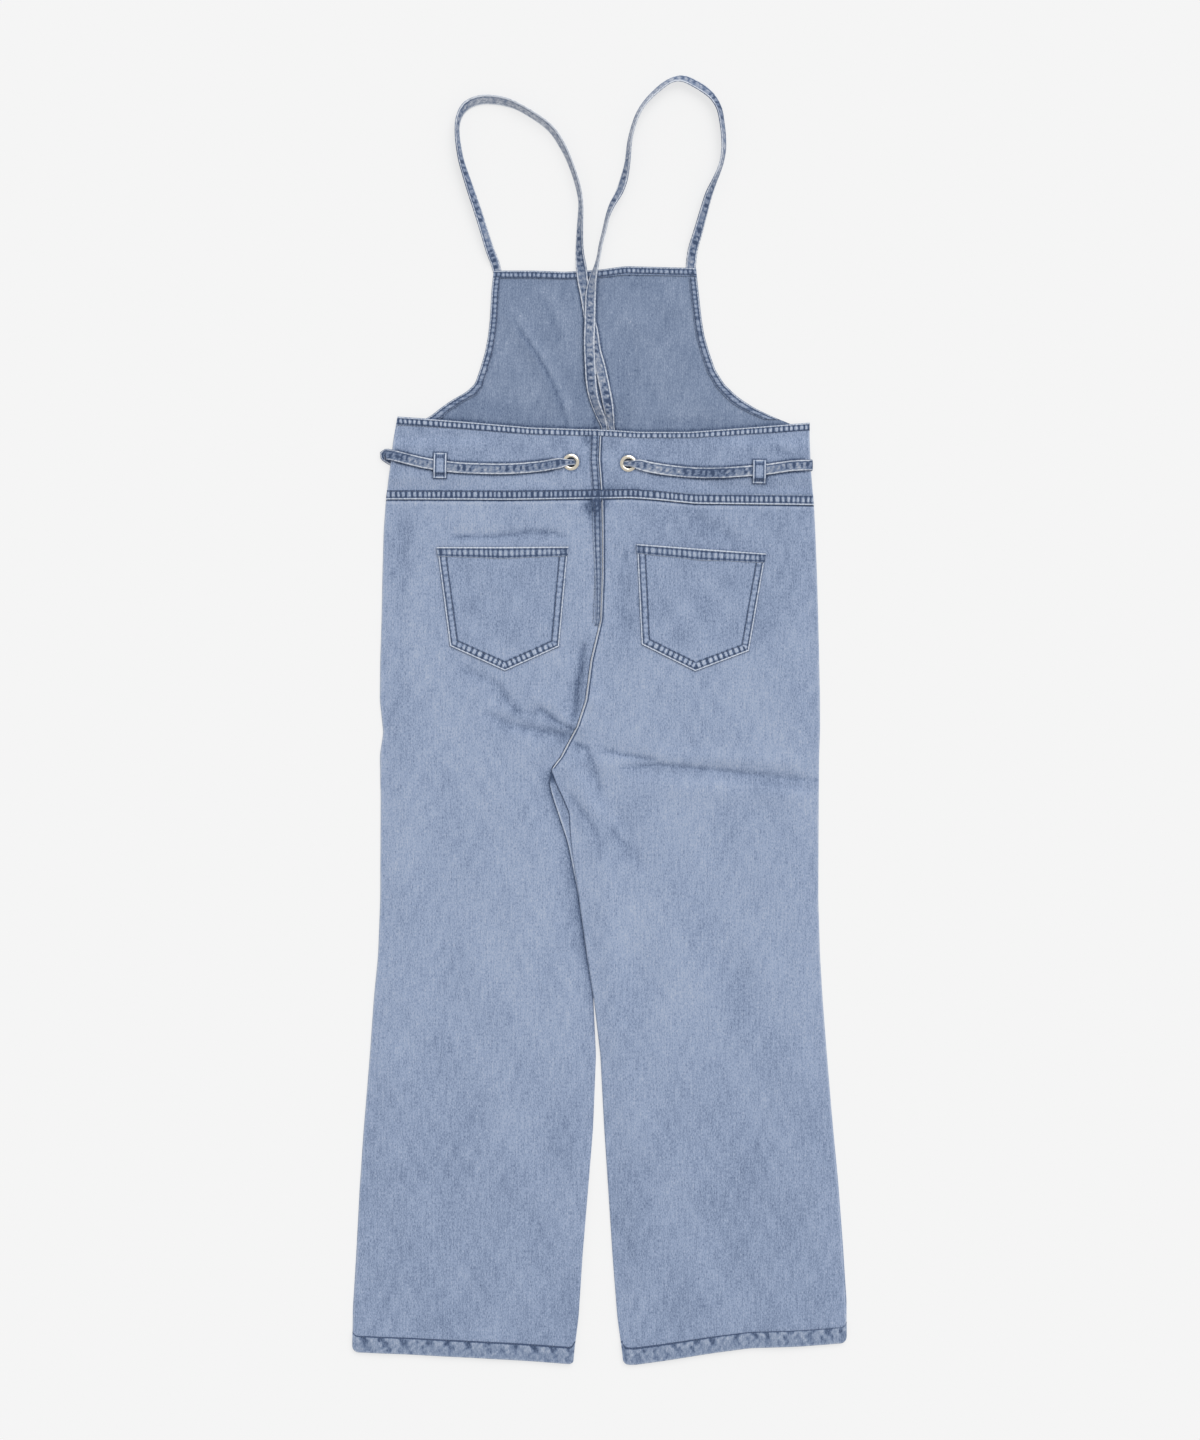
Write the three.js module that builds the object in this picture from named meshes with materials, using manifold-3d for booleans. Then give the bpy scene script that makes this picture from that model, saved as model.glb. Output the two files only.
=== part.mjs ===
// Denim dungarees laid flat on a surface with the back up.
// X is to the right, Y is up along the garment, Z is up from the surface. Sizes are in millimetres.
// Left and right are the wearer's: left lies at negative X.
import * as THREE from 'three';
import { mergeVertices } from 'three/addons/utils/BufferGeometryUtils.js';
import Module from 'manifold-3d';

const wasm = await Module();
wasm.setup();

// Cloth and the room between pieces
const WALL = 1.2;
const TRIM_WALL = 1.0;
const GAP = 0.3;
const SOFT_GAP = 0.5;
const FRONT_TOP = WALL;
const BACK_BASE = FRONT_TOP + GAP;

// Seams, hems and trims
const WAIST_STRIP = 11;
const BAND_HEM = 9;
const BIB_HEM = 8.8;
const LEG_HEM = 20;
const POCKET_HEM = 11.5;
const SEAT_SEAM_END_Y = 108;
const BIB_HEM_END_Y = 345;

// Height of the back over the front
const PUFF = 2.2;
const PUFF_REACH = 32;
const PUFF_MARGIN = 6;
const LEGS_CROSS_LIFT = 2 * WALL + GAP + SOFT_GAP;
const FRONT_LIFT = { flat: 10, ramp: 18, up: 26, down: 40 };
const BACK_LIFT = { flat: 15, ramp: 34, up: 36, down: 60 };
const CROTCH_Y = -58;
const LEGS_PART_Y = -322;
const LIFT_END_Y = -352;
const HEM_FLAT_REACH = 90;
const HEM_FLAT_SHARE = 0.3;

// Room behind the band for the tie ends turned under at the sides, and for the crossing straps
const TAIL_ROOM = { fromX: 112, ramp: 44, lowY: 264, lowRamp: 16, highY: 326, highRamp: 14 };
const STRAP_ROOM = { x: 9, half: 13, ramp: 22, fromY: 302, rampY: 20, height: 2.4 };

// How far a panel's rows follow its slanted top, and its slanted hem
const TOP_REACH = 40;
const HEM_REACH = 300;

// Straps, which are flat tubes of denim
const STRAP_WIDTH = 12.8;
const STRAP_WALL = 1.8;
const STRAP_STEP = 15;
const STRAP_CORNER = 1.2;
const STRAP_SIDES = 6;
const STEEP = 0.5;
const TIE_SLOPE = 0.1;
const TIE_SPREAD = 4;
const ON_BIB = FRONT_TOP + GAP;
const ON_HEM = ON_BIB + TRIM_WALL + GAP;
const ON_STRAP = ON_BIB + STRAP_WALL + SOFT_GAP;
const TAIL_LIFT = STRAP_WALL + SOFT_GAP;

// Eyelets in the back band
const EYELET_LEFT = { x: -32.7, y: 295.5 };
const EYELET_RIGHT = { x: 33.2, y: 294 };
const EYELET_BASE = 5.0;
const EYELET_MIDDLE = EYELET_BASE + WALL / 2;
const EYELET_HOLE = 6.6;
const EYELET_SIDES = 20;
const PLATEAU = 15;
const PLATEAU_RAMP = 22;

// Belt loops
const LOOP_LEFT = { x: -183, y: 291.5, width: 15.5, length: 30 };
const LOOP_RIGHT = { x: 183.5, y: 284.5, width: 15.5, length: 28 };
const LOOP_ARCH_FLAT = 7.6;
const LOOP_ARCH_FOOT = 12;
const LOOP_FOOT_SHARES = [1, 0.8, 0.65];

// Levels across the garment, and the rows and columns of its panels
const CROTCH_END_Y = -160;
const HEM_Y = -742;
const WAIST_Y = 252;
const BAND_TOP_Y = 341;
const BIB_TOP_Y = 517;
const FRONT_WAIST_Y = 250;
const FRONT_INSET = 1;
const SEAT_ROWS = 8;
const CROTCH_ROWS = 6;
const LEG_ROWS = 14;
const POCKET_CELLS = 8;
const BAND_ROWS = [326, 319, 312, 303, 295, 286, 280, 272];
const BIB_ROWS = [494, 480, 459, 441, 422, 402, 386, 376, 368, 357, BIB_HEM_END_Y];
const BIB_HIDDEN_ROWS = [334, 326, 319, 312, 296, 280, 272, 264];

// Shares of a panel's width where its columns lie, from the side seam in; the bib's go right across
const BACK_ACROSS = [0, 0.03, 0.09, 0.17, 0.26, 0.35, 0.44, 0.53, 0.62, 0.71, 0.79, 0.85, 0.91, 0.957, 1];
const FRONT_RIGHT_ACROSS = [0, 0.5, 0.74, 0.84, 0.91, 0.957, 1];
const BIB_ACROSS = [0, 0.038, 0.1, 0.19, 0.3, 0.42, 0.54, 0.66, 0.78, 0.9, 0.962, 1];

const MERGE_DISTANCE = 1e-4;

// Outer edges of the garment from the band's top to the leg hems
const SIDES = [
  { y: 348, left: -230.5, right: 241.5 },
  { y: 321, left: -236.5, right: 241.5 },
  { y: 287, left: -241, right: 242.8 },
  { y: 252, left: -245.5, right: 246.5 },
  { y: 218, left: -248, right: 248 },
  { y: 166, left: -249.5, right: 250 },
  { y: 114, left: -250.5, right: 251.5 },
  { y: 68, left: -252, right: 252.5 },
  { y: 22, left: -252.5, right: 253.5 },
  { y: -15, left: -248.5, right: 253.5 },
  { y: -41, left: -252.5, right: 252.5 },
  { y: -92, left: -251.5, right: 252 },
  { y: -207, left: -252, right: 251.5 },
  { y: -271, left: -254.5, right: 253.5 },
  { y: -322, left: -259.5, right: 256.5 },
  { y: -386, left: -264, right: 261.5 },
  { y: -472, left: -271, right: 268.5 },
  { y: -541, left: -275.5, right: 274.5 },
  { y: -621, left: -279.5, right: 280 },
  { y: -693, left: -283.5, right: 284 },
  { y: -742, left: -284, right: 284 },
];

// Centre seam down to the crotch, then the inner edges of the legs, where the right leg lies on the left one
const INNER = [
  { y: 348, left: 1, right: 1.3, front: 1.3 },
  { y: 299, left: -1, right: -0.7, front: -0.7 },
  { y: 252, left: 2.5, right: 2.8, front: 2.8 },
  { y: 218, left: 3, right: 3.3, front: 3.3 },
  { y: 166, left: 3, right: 3.3, front: 3.3 },
  { y: 114, left: 1, right: 1.3, front: 1.3 },
  { y: 68, left: -10, right: -9.6, front: -9.6 },
  { y: 22, left: -16, right: -15.6, front: -15.6 },
  { y: -8, left: -26, right: -25.6, front: -25.6 },
  { y: -43, left: -44.5, right: -44.1, front: -44.1 },
  { y: CROTCH_Y, left: -56, right: -55.5, front: -55.5 },
  { y: -75, left: -43, right: -50, front: -57 },
  { y: -89, left: -35, right: -43, front: -53.5 },
  { y: -107, left: -27, right: -35.5, front: -47.5 },
  { y: -142, left: -16, right: -33, front: -36 },
  { y: -207, left: -7.5, right: -23.5, front: -23 },
  { y: -271, left: -7, right: -14.5, front: -14 },
  { y: LEGS_PART_Y, left: -7, right: -6.5, front: -6 },
  { y: -386, left: -4, right: 1, front: 1.5 },
  { y: -472, left: -7.5, right: 5.5, front: 6 },
  { y: -541, left: -13, right: 10, front: 10.5 },
  { y: -621, left: -19.5, right: 15, front: 15.5 },
  { y: -693, left: -24, right: 20.5, front: 21 },
  { y: -742, left: -30, right: 27, front: 27.5 },
];

// Top edge of the back band, and the waist seam under it
const BAND_TOP = [
  { x: -230.5, y: 348 },
  { x: -165, y: 343 },
  { x: -77.5, y: 335.5 },
  { x: 1, y: 333 },
  { x: 46.5, y: 330.5 },
  { x: 104, y: 330.5 },
  { x: 184.5, y: 336.5 },
  { x: 241.5, y: 341 },
];
const WAIST = [
  { x: -245, y: 252.5 },
  { x: -99.5, y: 252 },
  { x: 37.5, y: 254 },
  { x: 65.5, y: 252 },
  { x: 110, y: 247.5 },
  { x: 247, y: 246 },
];

// Lower edges of the leg hems
const HEM_LEFT = [
  { x: -284, y: -727 },
  { x: -222, y: -729.5 },
  { x: -165, y: -732.5 },
  { x: -108, y: -735.5 },
  { x: -69.5, y: -738 },
  { x: -29, y: -741 },
];
const HEM_RIGHT = [
  { x: 26.5, y: -741 },
  { x: 38.5, y: -742 },
  { x: 77, y: -736.5 },
  { x: 134, y: -727.5 },
  { x: 172.5, y: -722.5 },
  { x: 229.5, y: -720.5 },
  { x: 284, y: -716.5 },
];

// Bib: sides with the armhole curve, then the hidden width down to the front waist seam
const BIB = [
  { y: 517, left: -121.5, right: 111 },
  { y: 494, left: -124, right: 113.5 },
  { y: 459, left: -126, right: 117.5 },
  { y: 441, left: -128, right: 120.5 },
  { y: 422, left: -131.5, right: 126 },
  { y: 402, left: -137.5, right: 133 },
  { y: 386, left: -143, right: 143 },
  { y: 376, left: -153.5, right: 153 },
  { y: 368, left: -168.5, right: 162.5 },
  { y: 357, left: -184, right: 180 },
  { y: 348, left: -195, right: 199 },
  { y: 341, left: -210, right: 217 },
  { y: 334, left: -229, right: 231 },
  { y: 324, left: -234, right: 239 },
  { y: 280, left: -240, right: 241 },
  { y: 252, left: -243.5, right: 244.5 },
];
const BIB_TOP = [
  { x: -121.5, y: 516 },
  { x: -80, y: 516 },
  { x: -39.5, y: 514.5 },
  { x: 0, y: 517 },
  { x: 30, y: 521 },
  { x: 111, y: 519 },
];

// Patch pockets: mouth from the outer corner in, then the sides and the point
const POCKET_LEFT = {
  topLeft: { x: -187, y: 198.5 }, topRight: { x: -35.5, y: 199 },
  lowLeft: { x: -172, y: 84 }, lowRight: { x: -46, y: 83.5 }, point: { x: -108.5, y: 55.5 },
};
const POCKET_RIGHT = {
  topLeft: { x: 42.5, y: 202 }, topRight: { x: 191.5, y: 191 },
  lowLeft: { x: 48, y: 86 }, lowRight: { x: 172, y: 78.5 }, point: { x: 110, y: 55 },
};

// Largest folds of the back: ridges are positive, troughs negative, each a soft bar from one end to the other
const FOLDS = [
  { x1: -149, y1: 59, x2: -112, y2: 27, half: 12, height: -1.2 },
  { x1: -112, y1: 27, x2: -57, y2: 5, half: 12, height: -1.5 },
  { x1: -67, y1: 22, x2: -24, y2: -6, half: 10, height: 1.2 },
  { x1: -114, y1: 0, x2: -35, y2: -24, half: 10, height: -1.6 },
  { x1: -135, y1: 42, x2: -80, y2: 16, half: 12, height: 0.9 },
  { x1: -6, y1: 100, x2: -9, y2: 20, half: 9, height: 1.2 },
  { x1: -26, y1: 80, x2: -30, y2: 10, half: 10, height: -1.4 },
  { x1: -9, y1: 20, x2: -36, y2: -45, half: 10, height: 1.2 },
  { x1: -24, y1: -29, x2: 2, y2: -92, half: 9, height: -1.5 },
  { x1: -10, y1: -52, x2: 22, y2: -50, half: 11, height: 1.1 },
  { x1: 12, y1: -37, x2: 55, y2: -45, half: 10, height: -1.3 },
  { x1: 40, y1: -58, x2: 138, y2: -60, half: 10, height: -1.5 },
  { x1: 138, y1: -60, x2: 235, y2: -69, half: 10, height: -1.5 },
  { x1: 60, y1: -41, x2: 225, y2: -50, half: 10, height: 1.0 },
  { x1: 90, y1: -80, x2: 235, y2: -88, half: 12, height: 0.9 },
  { x1: -5, y1: -118, x2: 12, y2: -150, half: 10, height: -1.0 },
  { x1: 24, y1: -112, x2: 50, y2: -168, half: 12, height: -1.0 },
  { x1: -164, y1: 211, x2: -46, y2: 213, half: 8, height: -0.9 },
  { x1: -226, y1: 228, x2: -228, y2: 30, half: 12, height: -0.9 },
  { x1: 115, y1: 228, x2: 158, y2: 207, half: 12, height: -0.8 },
  { x1: 28, y1: 185, x2: 29, y2: 100, half: 12, height: -0.8 },
  { x1: -180, y1: -140, x2: -170, y2: -520, half: 30, height: -0.8 },
  { x1: -90, y1: -200, x2: -110, y2: -640, half: 32, height: 0.7 },
  { x1: 150, y1: -150, x2: 165, y2: -560, half: 30, height: -0.8 },
  { x1: 75, y1: -230, x2: 95, y2: -650, half: 30, height: 0.7 },
];

// Creases in the bib, which thicken its wall upward so that its underside stays flat
const BIB_CREASES = [
  { x1: -103, y1: 464, x2: -73, y2: 420, half: 9, height: 0.9 },
  { x1: -73, y1: 420, x2: -44, y2: 361, half: 9, height: 1.0 },
  { x1: -60, y1: 482, x2: -47, y2: 437, half: 12, height: 0.5 },
  { x1: 46, y1: 452, x2: 47, y2: 376, half: 12, height: 0.6 },
  { x1: -150, y1: 358, x2: -105, y2: 352, half: 10, height: 0.5 },
];

// Where the left shoulder strap lies: from the bib's left corner up, over, down across the bib, then behind
// the band to the right eyelet. The last columns are what it rests on, how far it leans and its width.
const LEFT_STRAP_SHOWN = [
  { x: -118.3, y: 518, rest: 0, lean: 0, width: 10 },
  { x: -120.5, y: 526, rest: 0, lean: 10, width: 10.4 },
  { x: -125, y: 537, rest: 0, lean: 25, width: 11.2 },
  { x: -132, y: 559, rest: 0, lean: 40, width: 12 },
  { x: -140.3, y: 585.5, rest: 0, lean: 45, width: STRAP_WIDTH },
  { x: -147.5, y: 606.5, rest: 0, lean: 48, width: STRAP_WIDTH },
  { x: -153.7, y: 625.5, rest: 0, lean: 54, width: STRAP_WIDTH },
  { x: -159.5, y: 645, rest: 0, lean: 62, width: STRAP_WIDTH },
  { x: -163.5, y: 677.5, rest: 0, lean: 70, width: STRAP_WIDTH },
  { x: -161, y: 693, rest: 0, lean: 65, width: STRAP_WIDTH },
  { x: -153, y: 705, rest: 0, lean: 46, width: STRAP_WIDTH },
  { x: -138, y: 711.5, rest: 0, lean: 40, width: STRAP_WIDTH },
  { x: -122, y: 711.8, rest: 0, lean: 42, width: STRAP_WIDTH },
  { x: -107, y: 709, rest: 0, lean: 48, width: STRAP_WIDTH },
  { x: -92, y: 703, rest: 0, lean: 60, width: STRAP_WIDTH },
  { x: -57.5, y: 680, rest: 0, lean: 58, width: STRAP_WIDTH },
  { x: -43.8, y: 661, rest: 0, lean: 58, width: STRAP_WIDTH },
  { x: -33.8, y: 640, rest: 0, lean: 66, width: STRAP_WIDTH },
  { x: -24.5, y: 611.5, rest: 0, lean: 67, width: STRAP_WIDTH },
  { x: -21.6, y: 594, rest: 0, lean: 68, width: STRAP_WIDTH },
  { x: -22.5, y: 565, rest: 0, lean: 58, width: STRAP_WIDTH },
  { x: -23, y: 542, rest: 0, lean: 48, width: STRAP_WIDTH },
  { x: -22.3, y: 530, rest: 1.2, lean: 36, width: STRAP_WIDTH },
  { x: -21, y: 520, rest: ON_HEM, lean: 15, width: STRAP_WIDTH },
  { x: -19.6, y: 507.5, rest: ON_HEM, lean: 0, width: STRAP_WIDTH },
  { x: -18.7, y: 501, rest: ON_BIB + 0.3, lean: 0, width: STRAP_WIDTH },
  { x: -17.3, y: 495, rest: ON_BIB, lean: 0, width: STRAP_WIDTH },
  { x: -15, y: 482.5, rest: ON_BIB, lean: 0, width: STRAP_WIDTH },
  { x: -11.5, y: 461.5, rest: ON_BIB, lean: 0, width: STRAP_WIDTH },
  { x: -7.5, y: 445, rest: ON_BIB, lean: 0, width: STRAP_WIDTH },
  { x: -4.5, y: 424, rest: ON_BIB, lean: 0, width: STRAP_WIDTH },
  { x: 0.5, y: 406.5, rest: ON_BIB, lean: 0, width: STRAP_WIDTH },
  { x: 5.4, y: 384, rest: ON_BIB, lean: 0, width: STRAP_WIDTH },
  { x: 9.2, y: 365.5, rest: ON_BIB, lean: 0, width: STRAP_WIDTH },
  { x: 11.8, y: 349, rest: ON_BIB, lean: 40, width: STRAP_WIDTH },
];
const LEFT_STRAP_BEHIND = [
  { x: 13.6, y: 336, width: 7 },
  { x: 15.5, y: 322, width: 7.5 },
  { x: 16, y: 311, width: 7.5 },
  { x: 16, y: 302, width: 6.6 },
];

// The right shoulder strap, which lies over the left one where they cross
const RIGHT_STRAP_SHOWN = [
  { x: 105, y: 520.9, rest: 0, lean: 0, width: 11.5 },
  { x: 107, y: 538.5, rest: 0, lean: 20, width: 12 },
  { x: 113, y: 559.5, rest: 0, lean: 35, width: STRAP_WIDTH },
  { x: 119.5, y: 582.5, rest: 0, lean: 43, width: STRAP_WIDTH },
  { x: 125.7, y: 603.5, rest: 0, lean: 50, width: STRAP_WIDTH },
  { x: 132.5, y: 619.5, rest: 0, lean: 66, width: STRAP_WIDTH },
  { x: 139, y: 635.5, rest: 0, lean: 71, width: STRAP_WIDTH },
  { x: 142.6, y: 653, rest: 0, lean: 66, width: STRAP_WIDTH },
  { x: 142.5, y: 670.5, rest: 0, lean: 64, width: STRAP_WIDTH },
  { x: 140.4, y: 688, rest: 0, lean: 62, width: STRAP_WIDTH },
  { x: 137.6, y: 701.6, rest: 0, lean: 58, width: STRAP_WIDTH },
  { x: 130.2, y: 714.8, rest: 0, lean: 50, width: STRAP_WIDTH },
  { x: 120, y: 724, rest: 0, lean: 40, width: STRAP_WIDTH },
  { x: 108, y: 731.2, rest: 0, lean: 40, width: STRAP_WIDTH },
  { x: 95.5, y: 736.3, rest: 0, lean: 45, width: STRAP_WIDTH },
  { x: 83.5, y: 734.5, rest: 0, lean: 58, width: STRAP_WIDTH },
  { x: 70.2, y: 726, rest: 0, lean: 56, width: STRAP_WIDTH },
  { x: 47.8, y: 702, rest: 0, lean: 66, width: STRAP_WIDTH },
  { x: 36, y: 670.5, rest: 0, lean: 69, width: STRAP_WIDTH },
  { x: 32, y: 639, rest: 0, lean: 61, width: STRAP_WIDTH },
  { x: 27.9, y: 620, rest: 0, lean: 45, width: STRAP_WIDTH },
  { x: 22.8, y: 605.5, rest: 0, lean: 48, width: STRAP_WIDTH },
  { x: 14.5, y: 591, rest: 0, lean: 56, width: STRAP_WIDTH },
  { x: 9.3, y: 577.4, rest: 0, lean: 69, width: STRAP_WIDTH },
  { x: 5.2, y: 560, rest: 0, lean: 70, width: STRAP_WIDTH },
  { x: 1.3, y: 545, rest: 0, lean: 73, width: STRAP_WIDTH },
  { x: -0.7, y: 533, rest: 0.8, lean: 70, width: 10 },
  { x: -3, y: 523, rest: ON_HEM, lean: 62, width: 9 },
  { x: -7.1, y: 507, rest: ON_STRAP, lean: 42, width: 11.5 },
  { x: -9.8, y: 490.5, rest: ON_STRAP, lean: 15, width: STRAP_WIDTH },
  { x: -10.8, y: 462, rest: ON_STRAP, lean: 0, width: STRAP_WIDTH },
  { x: -11.7, y: 431, rest: ON_STRAP, lean: 0, width: STRAP_WIDTH },
  { x: -10.8, y: 408.5, rest: ON_STRAP, lean: 0, width: STRAP_WIDTH },
  { x: -10.2, y: 397, rest: ON_STRAP, lean: 0, width: STRAP_WIDTH },
  { x: -9.2, y: 384, rest: ON_BIB, lean: 12, width: STRAP_WIDTH },
  { x: -6, y: 367.5, rest: ON_BIB, lean: 35, width: STRAP_WIDTH },
  { x: 0.2, y: 351, rest: ON_BIB, lean: 42, width: STRAP_WIDTH },
];
const RIGHT_STRAP_BEHIND = [
  { x: 5.8, y: 336, width: 7 },
  { x: 4.5, y: 325, width: 7.5 },
  { x: -2, y: 314, width: 8 },
  { x: -10, y: 303, width: 7.5 },
];

// How a strap goes up through its eyelet: distance along, height over the band's middle, and width there
const THROUGH_EYELET = [
  { along: -9.5, rise: -3.0, width: 7 },
  { along: -5.6, rise: -2.8, width: 6.4 },
  { along: 0, rise: 0, width: 6.4 },
  { along: 5.6, rise: 2.8, width: 6.6 },
  { along: 8.2, rise: 3.0, width: 10.5 },
  { along: 11.5, rise: 2.9, width: STRAP_WIDTH },
];

// The waist ties on the band, from each eyelet to the fold round the side seam, then the end underneath
const TIE_LEFT_SHOWN = [
  { x: -52, y: 293.3 },
  { x: -66.5, y: 290.8 },
  { x: -99.5, y: 288 },
  { x: -132.5, y: 287.8 },
  { x: -165.5, y: 289.3 },
  { x: -183, y: 291.5 },
  { x: -200.5, y: 294.3 },
  { x: -220.5, y: 299 },
  { x: -236, y: 303 },
];
const TIE_LEFT_FOLD = [
  { x: -246, y: 305, z: 6.4 },
  { x: -249.8, y: 305.4, z: 5.3 },
  { x: -251, y: 305, z: 3.6 },
  { x: -249.8, y: 303.6, z: 2 },
  { x: -246, y: 301, z: 0.9 },
  { x: -236, y: 296, z: 0.9 },
  { x: -215, y: 291, z: 0.9 },
  { x: -178, y: 289, z: 0.9 },
];
const TIE_RIGHT_SHOWN = [
  { x: 55, y: 290.2 },
  { x: 76.5, y: 286.6 },
  { x: 109.5, y: 283.4 },
  { x: 142.5, y: 283.3 },
  { x: 171, y: 285.2 },
  { x: 183.5, y: 286 },
  { x: 197, y: 287.7 },
  { x: 219.5, y: 291 },
  { x: 236, y: 292 },
];
const TIE_RIGHT_FOLD = [
  { x: 242.4, y: 292.1, z: 6.5 },
  { x: 245, y: 292.2, z: 5.4 },
  { x: 245.9, y: 292.2, z: 3.6 },
  { x: 245, y: 292.1, z: 2 },
  { x: 242.4, y: 291.8, z: 0.9 },
  { x: 236, y: 291, z: 0.9 },
  { x: 178, y: 289, z: 0.9 },
];

// Section of an eyelet: radius, and height over the band's middle
const EYELET_SECTION = [
  { r: 5.7, z: -1.1 },
  { r: 5.7, z: 1.1 },
  { r: 6.3, z: 1.6 },
  { r: 8.6, z: 1.6 },
  { r: 9.5, z: 1.25 },
  { r: 9.5, z: 0.9 },
  { r: 6.3, z: 0.9 },
  { r: 6.3, z: -0.9 },
  { r: 9.0, z: -0.9 },
  { r: 9.0, z: -1.3 },
  { r: 8.4, z: -1.6 },
  { r: 6.3, z: -1.6 },
];

const DENIM = new THREE.Color().setRGB(0.29, 0.36, 0.47);
const DENIM_INSIDE = new THREE.Color().setRGB(0.21, 0.28, 0.4);
const DENIM_SEAM = new THREE.Color().setRGB(0.25, 0.32, 0.44);
const PALE_METAL = new THREE.Color().setRGB(0.78, 0.76, 0.7);

function lerp(a, b, share) {
  return a + (b - a) * share;
}

// The place at a share of the way from one place to another
function between(from, to, share) {
  return { x: lerp(from.x, to.x, share), y: lerp(from.y, to.y, share) };
}

function smooth(share) {
  const t = Math.min(Math.max(share, 0), 1);
  return t * t * (3 - 2 * t);
}

// Reads one column of a table in straight steps between its rows
function column(table, key, name) {
  const rows = [...table].sort((a, b) => a[key] - b[key]);
  return (value) => {
    const found = rows.findIndex((row) => row[key] > value);
    const after = found === -1 ? rows.length - 1 : Math.max(found, 1);
    const [low, high] = [rows[after - 1], rows[after]];
    const share = Math.min(Math.max((value - low[key]) / (high[key] - low[key]), 0), 1);
    return lerp(low[name], high[name], share);
  };
}

const leftSide = column(SIDES, 'y', 'left');
const rightSide = column(SIDES, 'y', 'right');
const leftInner = column(INNER, 'y', 'left');
const rightInner = column(INNER, 'y', 'right');
const rightFrontInner = column(INNER, 'y', 'front');
const bandTop = column(BAND_TOP, 'x', 'y');
const waist = column(WAIST, 'x', 'y');
const leftHem = column(HEM_LEFT, 'x', 'y');
const rightHem = column(HEM_RIGHT, 'x', 'y');
const bibTop = column(BIB_TOP, 'x', 'y');

// Height that a list of soft bars adds at a place
function foldHeight(folds, x, y) {
  return folds.reduce((sum, fold) => {
    const [dx, dy] = [fold.x2 - fold.x1, fold.y2 - fold.y1];
    const t = ((x - fold.x1) * dx + (y - fold.y1) * dy) / (dx * dx + dy * dy);
    const near = Math.min(Math.max(t, 0), 1);
    const distance = Math.hypot(x - fold.x1 - near * dx, y - fold.y1 - near * dy);
    return sum + fold.height * Math.exp(-((distance / fold.half) ** 2));
  }, 0);
}

// The soft swell of the back between its edges, flat at the sides, the inseams and the hems
function swell(x, y, inner) {
  const side = Math.min(x - leftSide(y), rightSide(y) - x);
  const innerShare = lerp(1, smooth(inner / PUFF_REACH), smooth(y / CROTCH_Y));
  const hemShare = lerp(HEM_FLAT_SHARE, 1, smooth((y - HEM_Y) / HEM_FLAT_REACH));
  return (PUFF + foldHeight(FOLDS, x, y)) * smooth(side / PUFF_REACH) * innerShare * hemShare;
}

// Room for the tie's end, which is turned under the front at each side
function tailLift(x, y) {
  const { fromX, ramp, lowY, lowRamp, highY, highRamp } = TAIL_ROOM;
  const across = smooth((Math.abs(x) - fromX) / ramp);
  const along = smooth((y - lowY) / lowRamp) * smooth((highY - y) / highRamp);
  return TAIL_LIFT * across * along;
}

// Room for the two straps where they lie on each other behind the band
function strapHump(x, y) {
  const across = 1 - smooth((Math.abs(x - STRAP_ROOM.x) - STRAP_ROOM.half) / STRAP_ROOM.ramp);
  return STRAP_ROOM.height * across * smooth((y - STRAP_ROOM.fromY) / STRAP_ROOM.rampY);
}

// The right leg's rise over the left one below the crotch, which its back rounds off more widely
function legsCrossLift(x, y, { flat, ramp, up, down }) {
  const sideways = 1 - smooth((x - leftInner(y) - flat) / ramp);
  const upward = 1 - smooth((y - CROTCH_Y) / up);
  const downward = 1 - smooth((LIFT_END_Y - y) / down);
  return LEGS_CROSS_LIFT * sideways * upward * downward;
}

// Underside of the back, with a level place round each eyelet
function back(x, y, inner) {
  const plain = BACK_BASE + swell(x, y, inner) + tailLift(x, y) + strapHump(x, y);
  return [EYELET_LEFT, EYELET_RIGHT].reduce((height, eyelet) => {
    const away = Math.hypot(x - eyelet.x, y - eyelet.y);
    return lerp(height, EYELET_BASE, 1 - smooth((away - PLATEAU) / PLATEAU_RAMP));
  }, plain);
}

function leftBack(x, y) {
  return back(x, y, rightFrontInner(y) - PUFF_MARGIN - x);
}

function rightBack(x, y) {
  return back(x, y, x - rightInner(y)) + legsCrossLift(x, y, BACK_LIFT);
}

function raised(surface, by) {
  return (x, y) => surface(x, y) + by;
}

const leftBackTop = raised(leftBack, WALL);
const rightBackTop = raised(rightBack, WALL);

// Builds a mesh from corner points and faces, turned so that the faces point out
function closedMesh(points, faces) {
  let volume = 0;
  for (const [a, b, c] of faces) {
    volume += points[a].dot(new THREE.Vector3().crossVectors(points[b], points[c]));
  }
  const turned = volume < 0 ? faces.map(([a, b, c]) => [a, c, b]) : faces;
  const geometry = new THREE.BufferGeometry().setFromPoints(points);
  geometry.setIndex(turned.flat());
  geometry.computeVertexNormals();
  return geometry;
}

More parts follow.
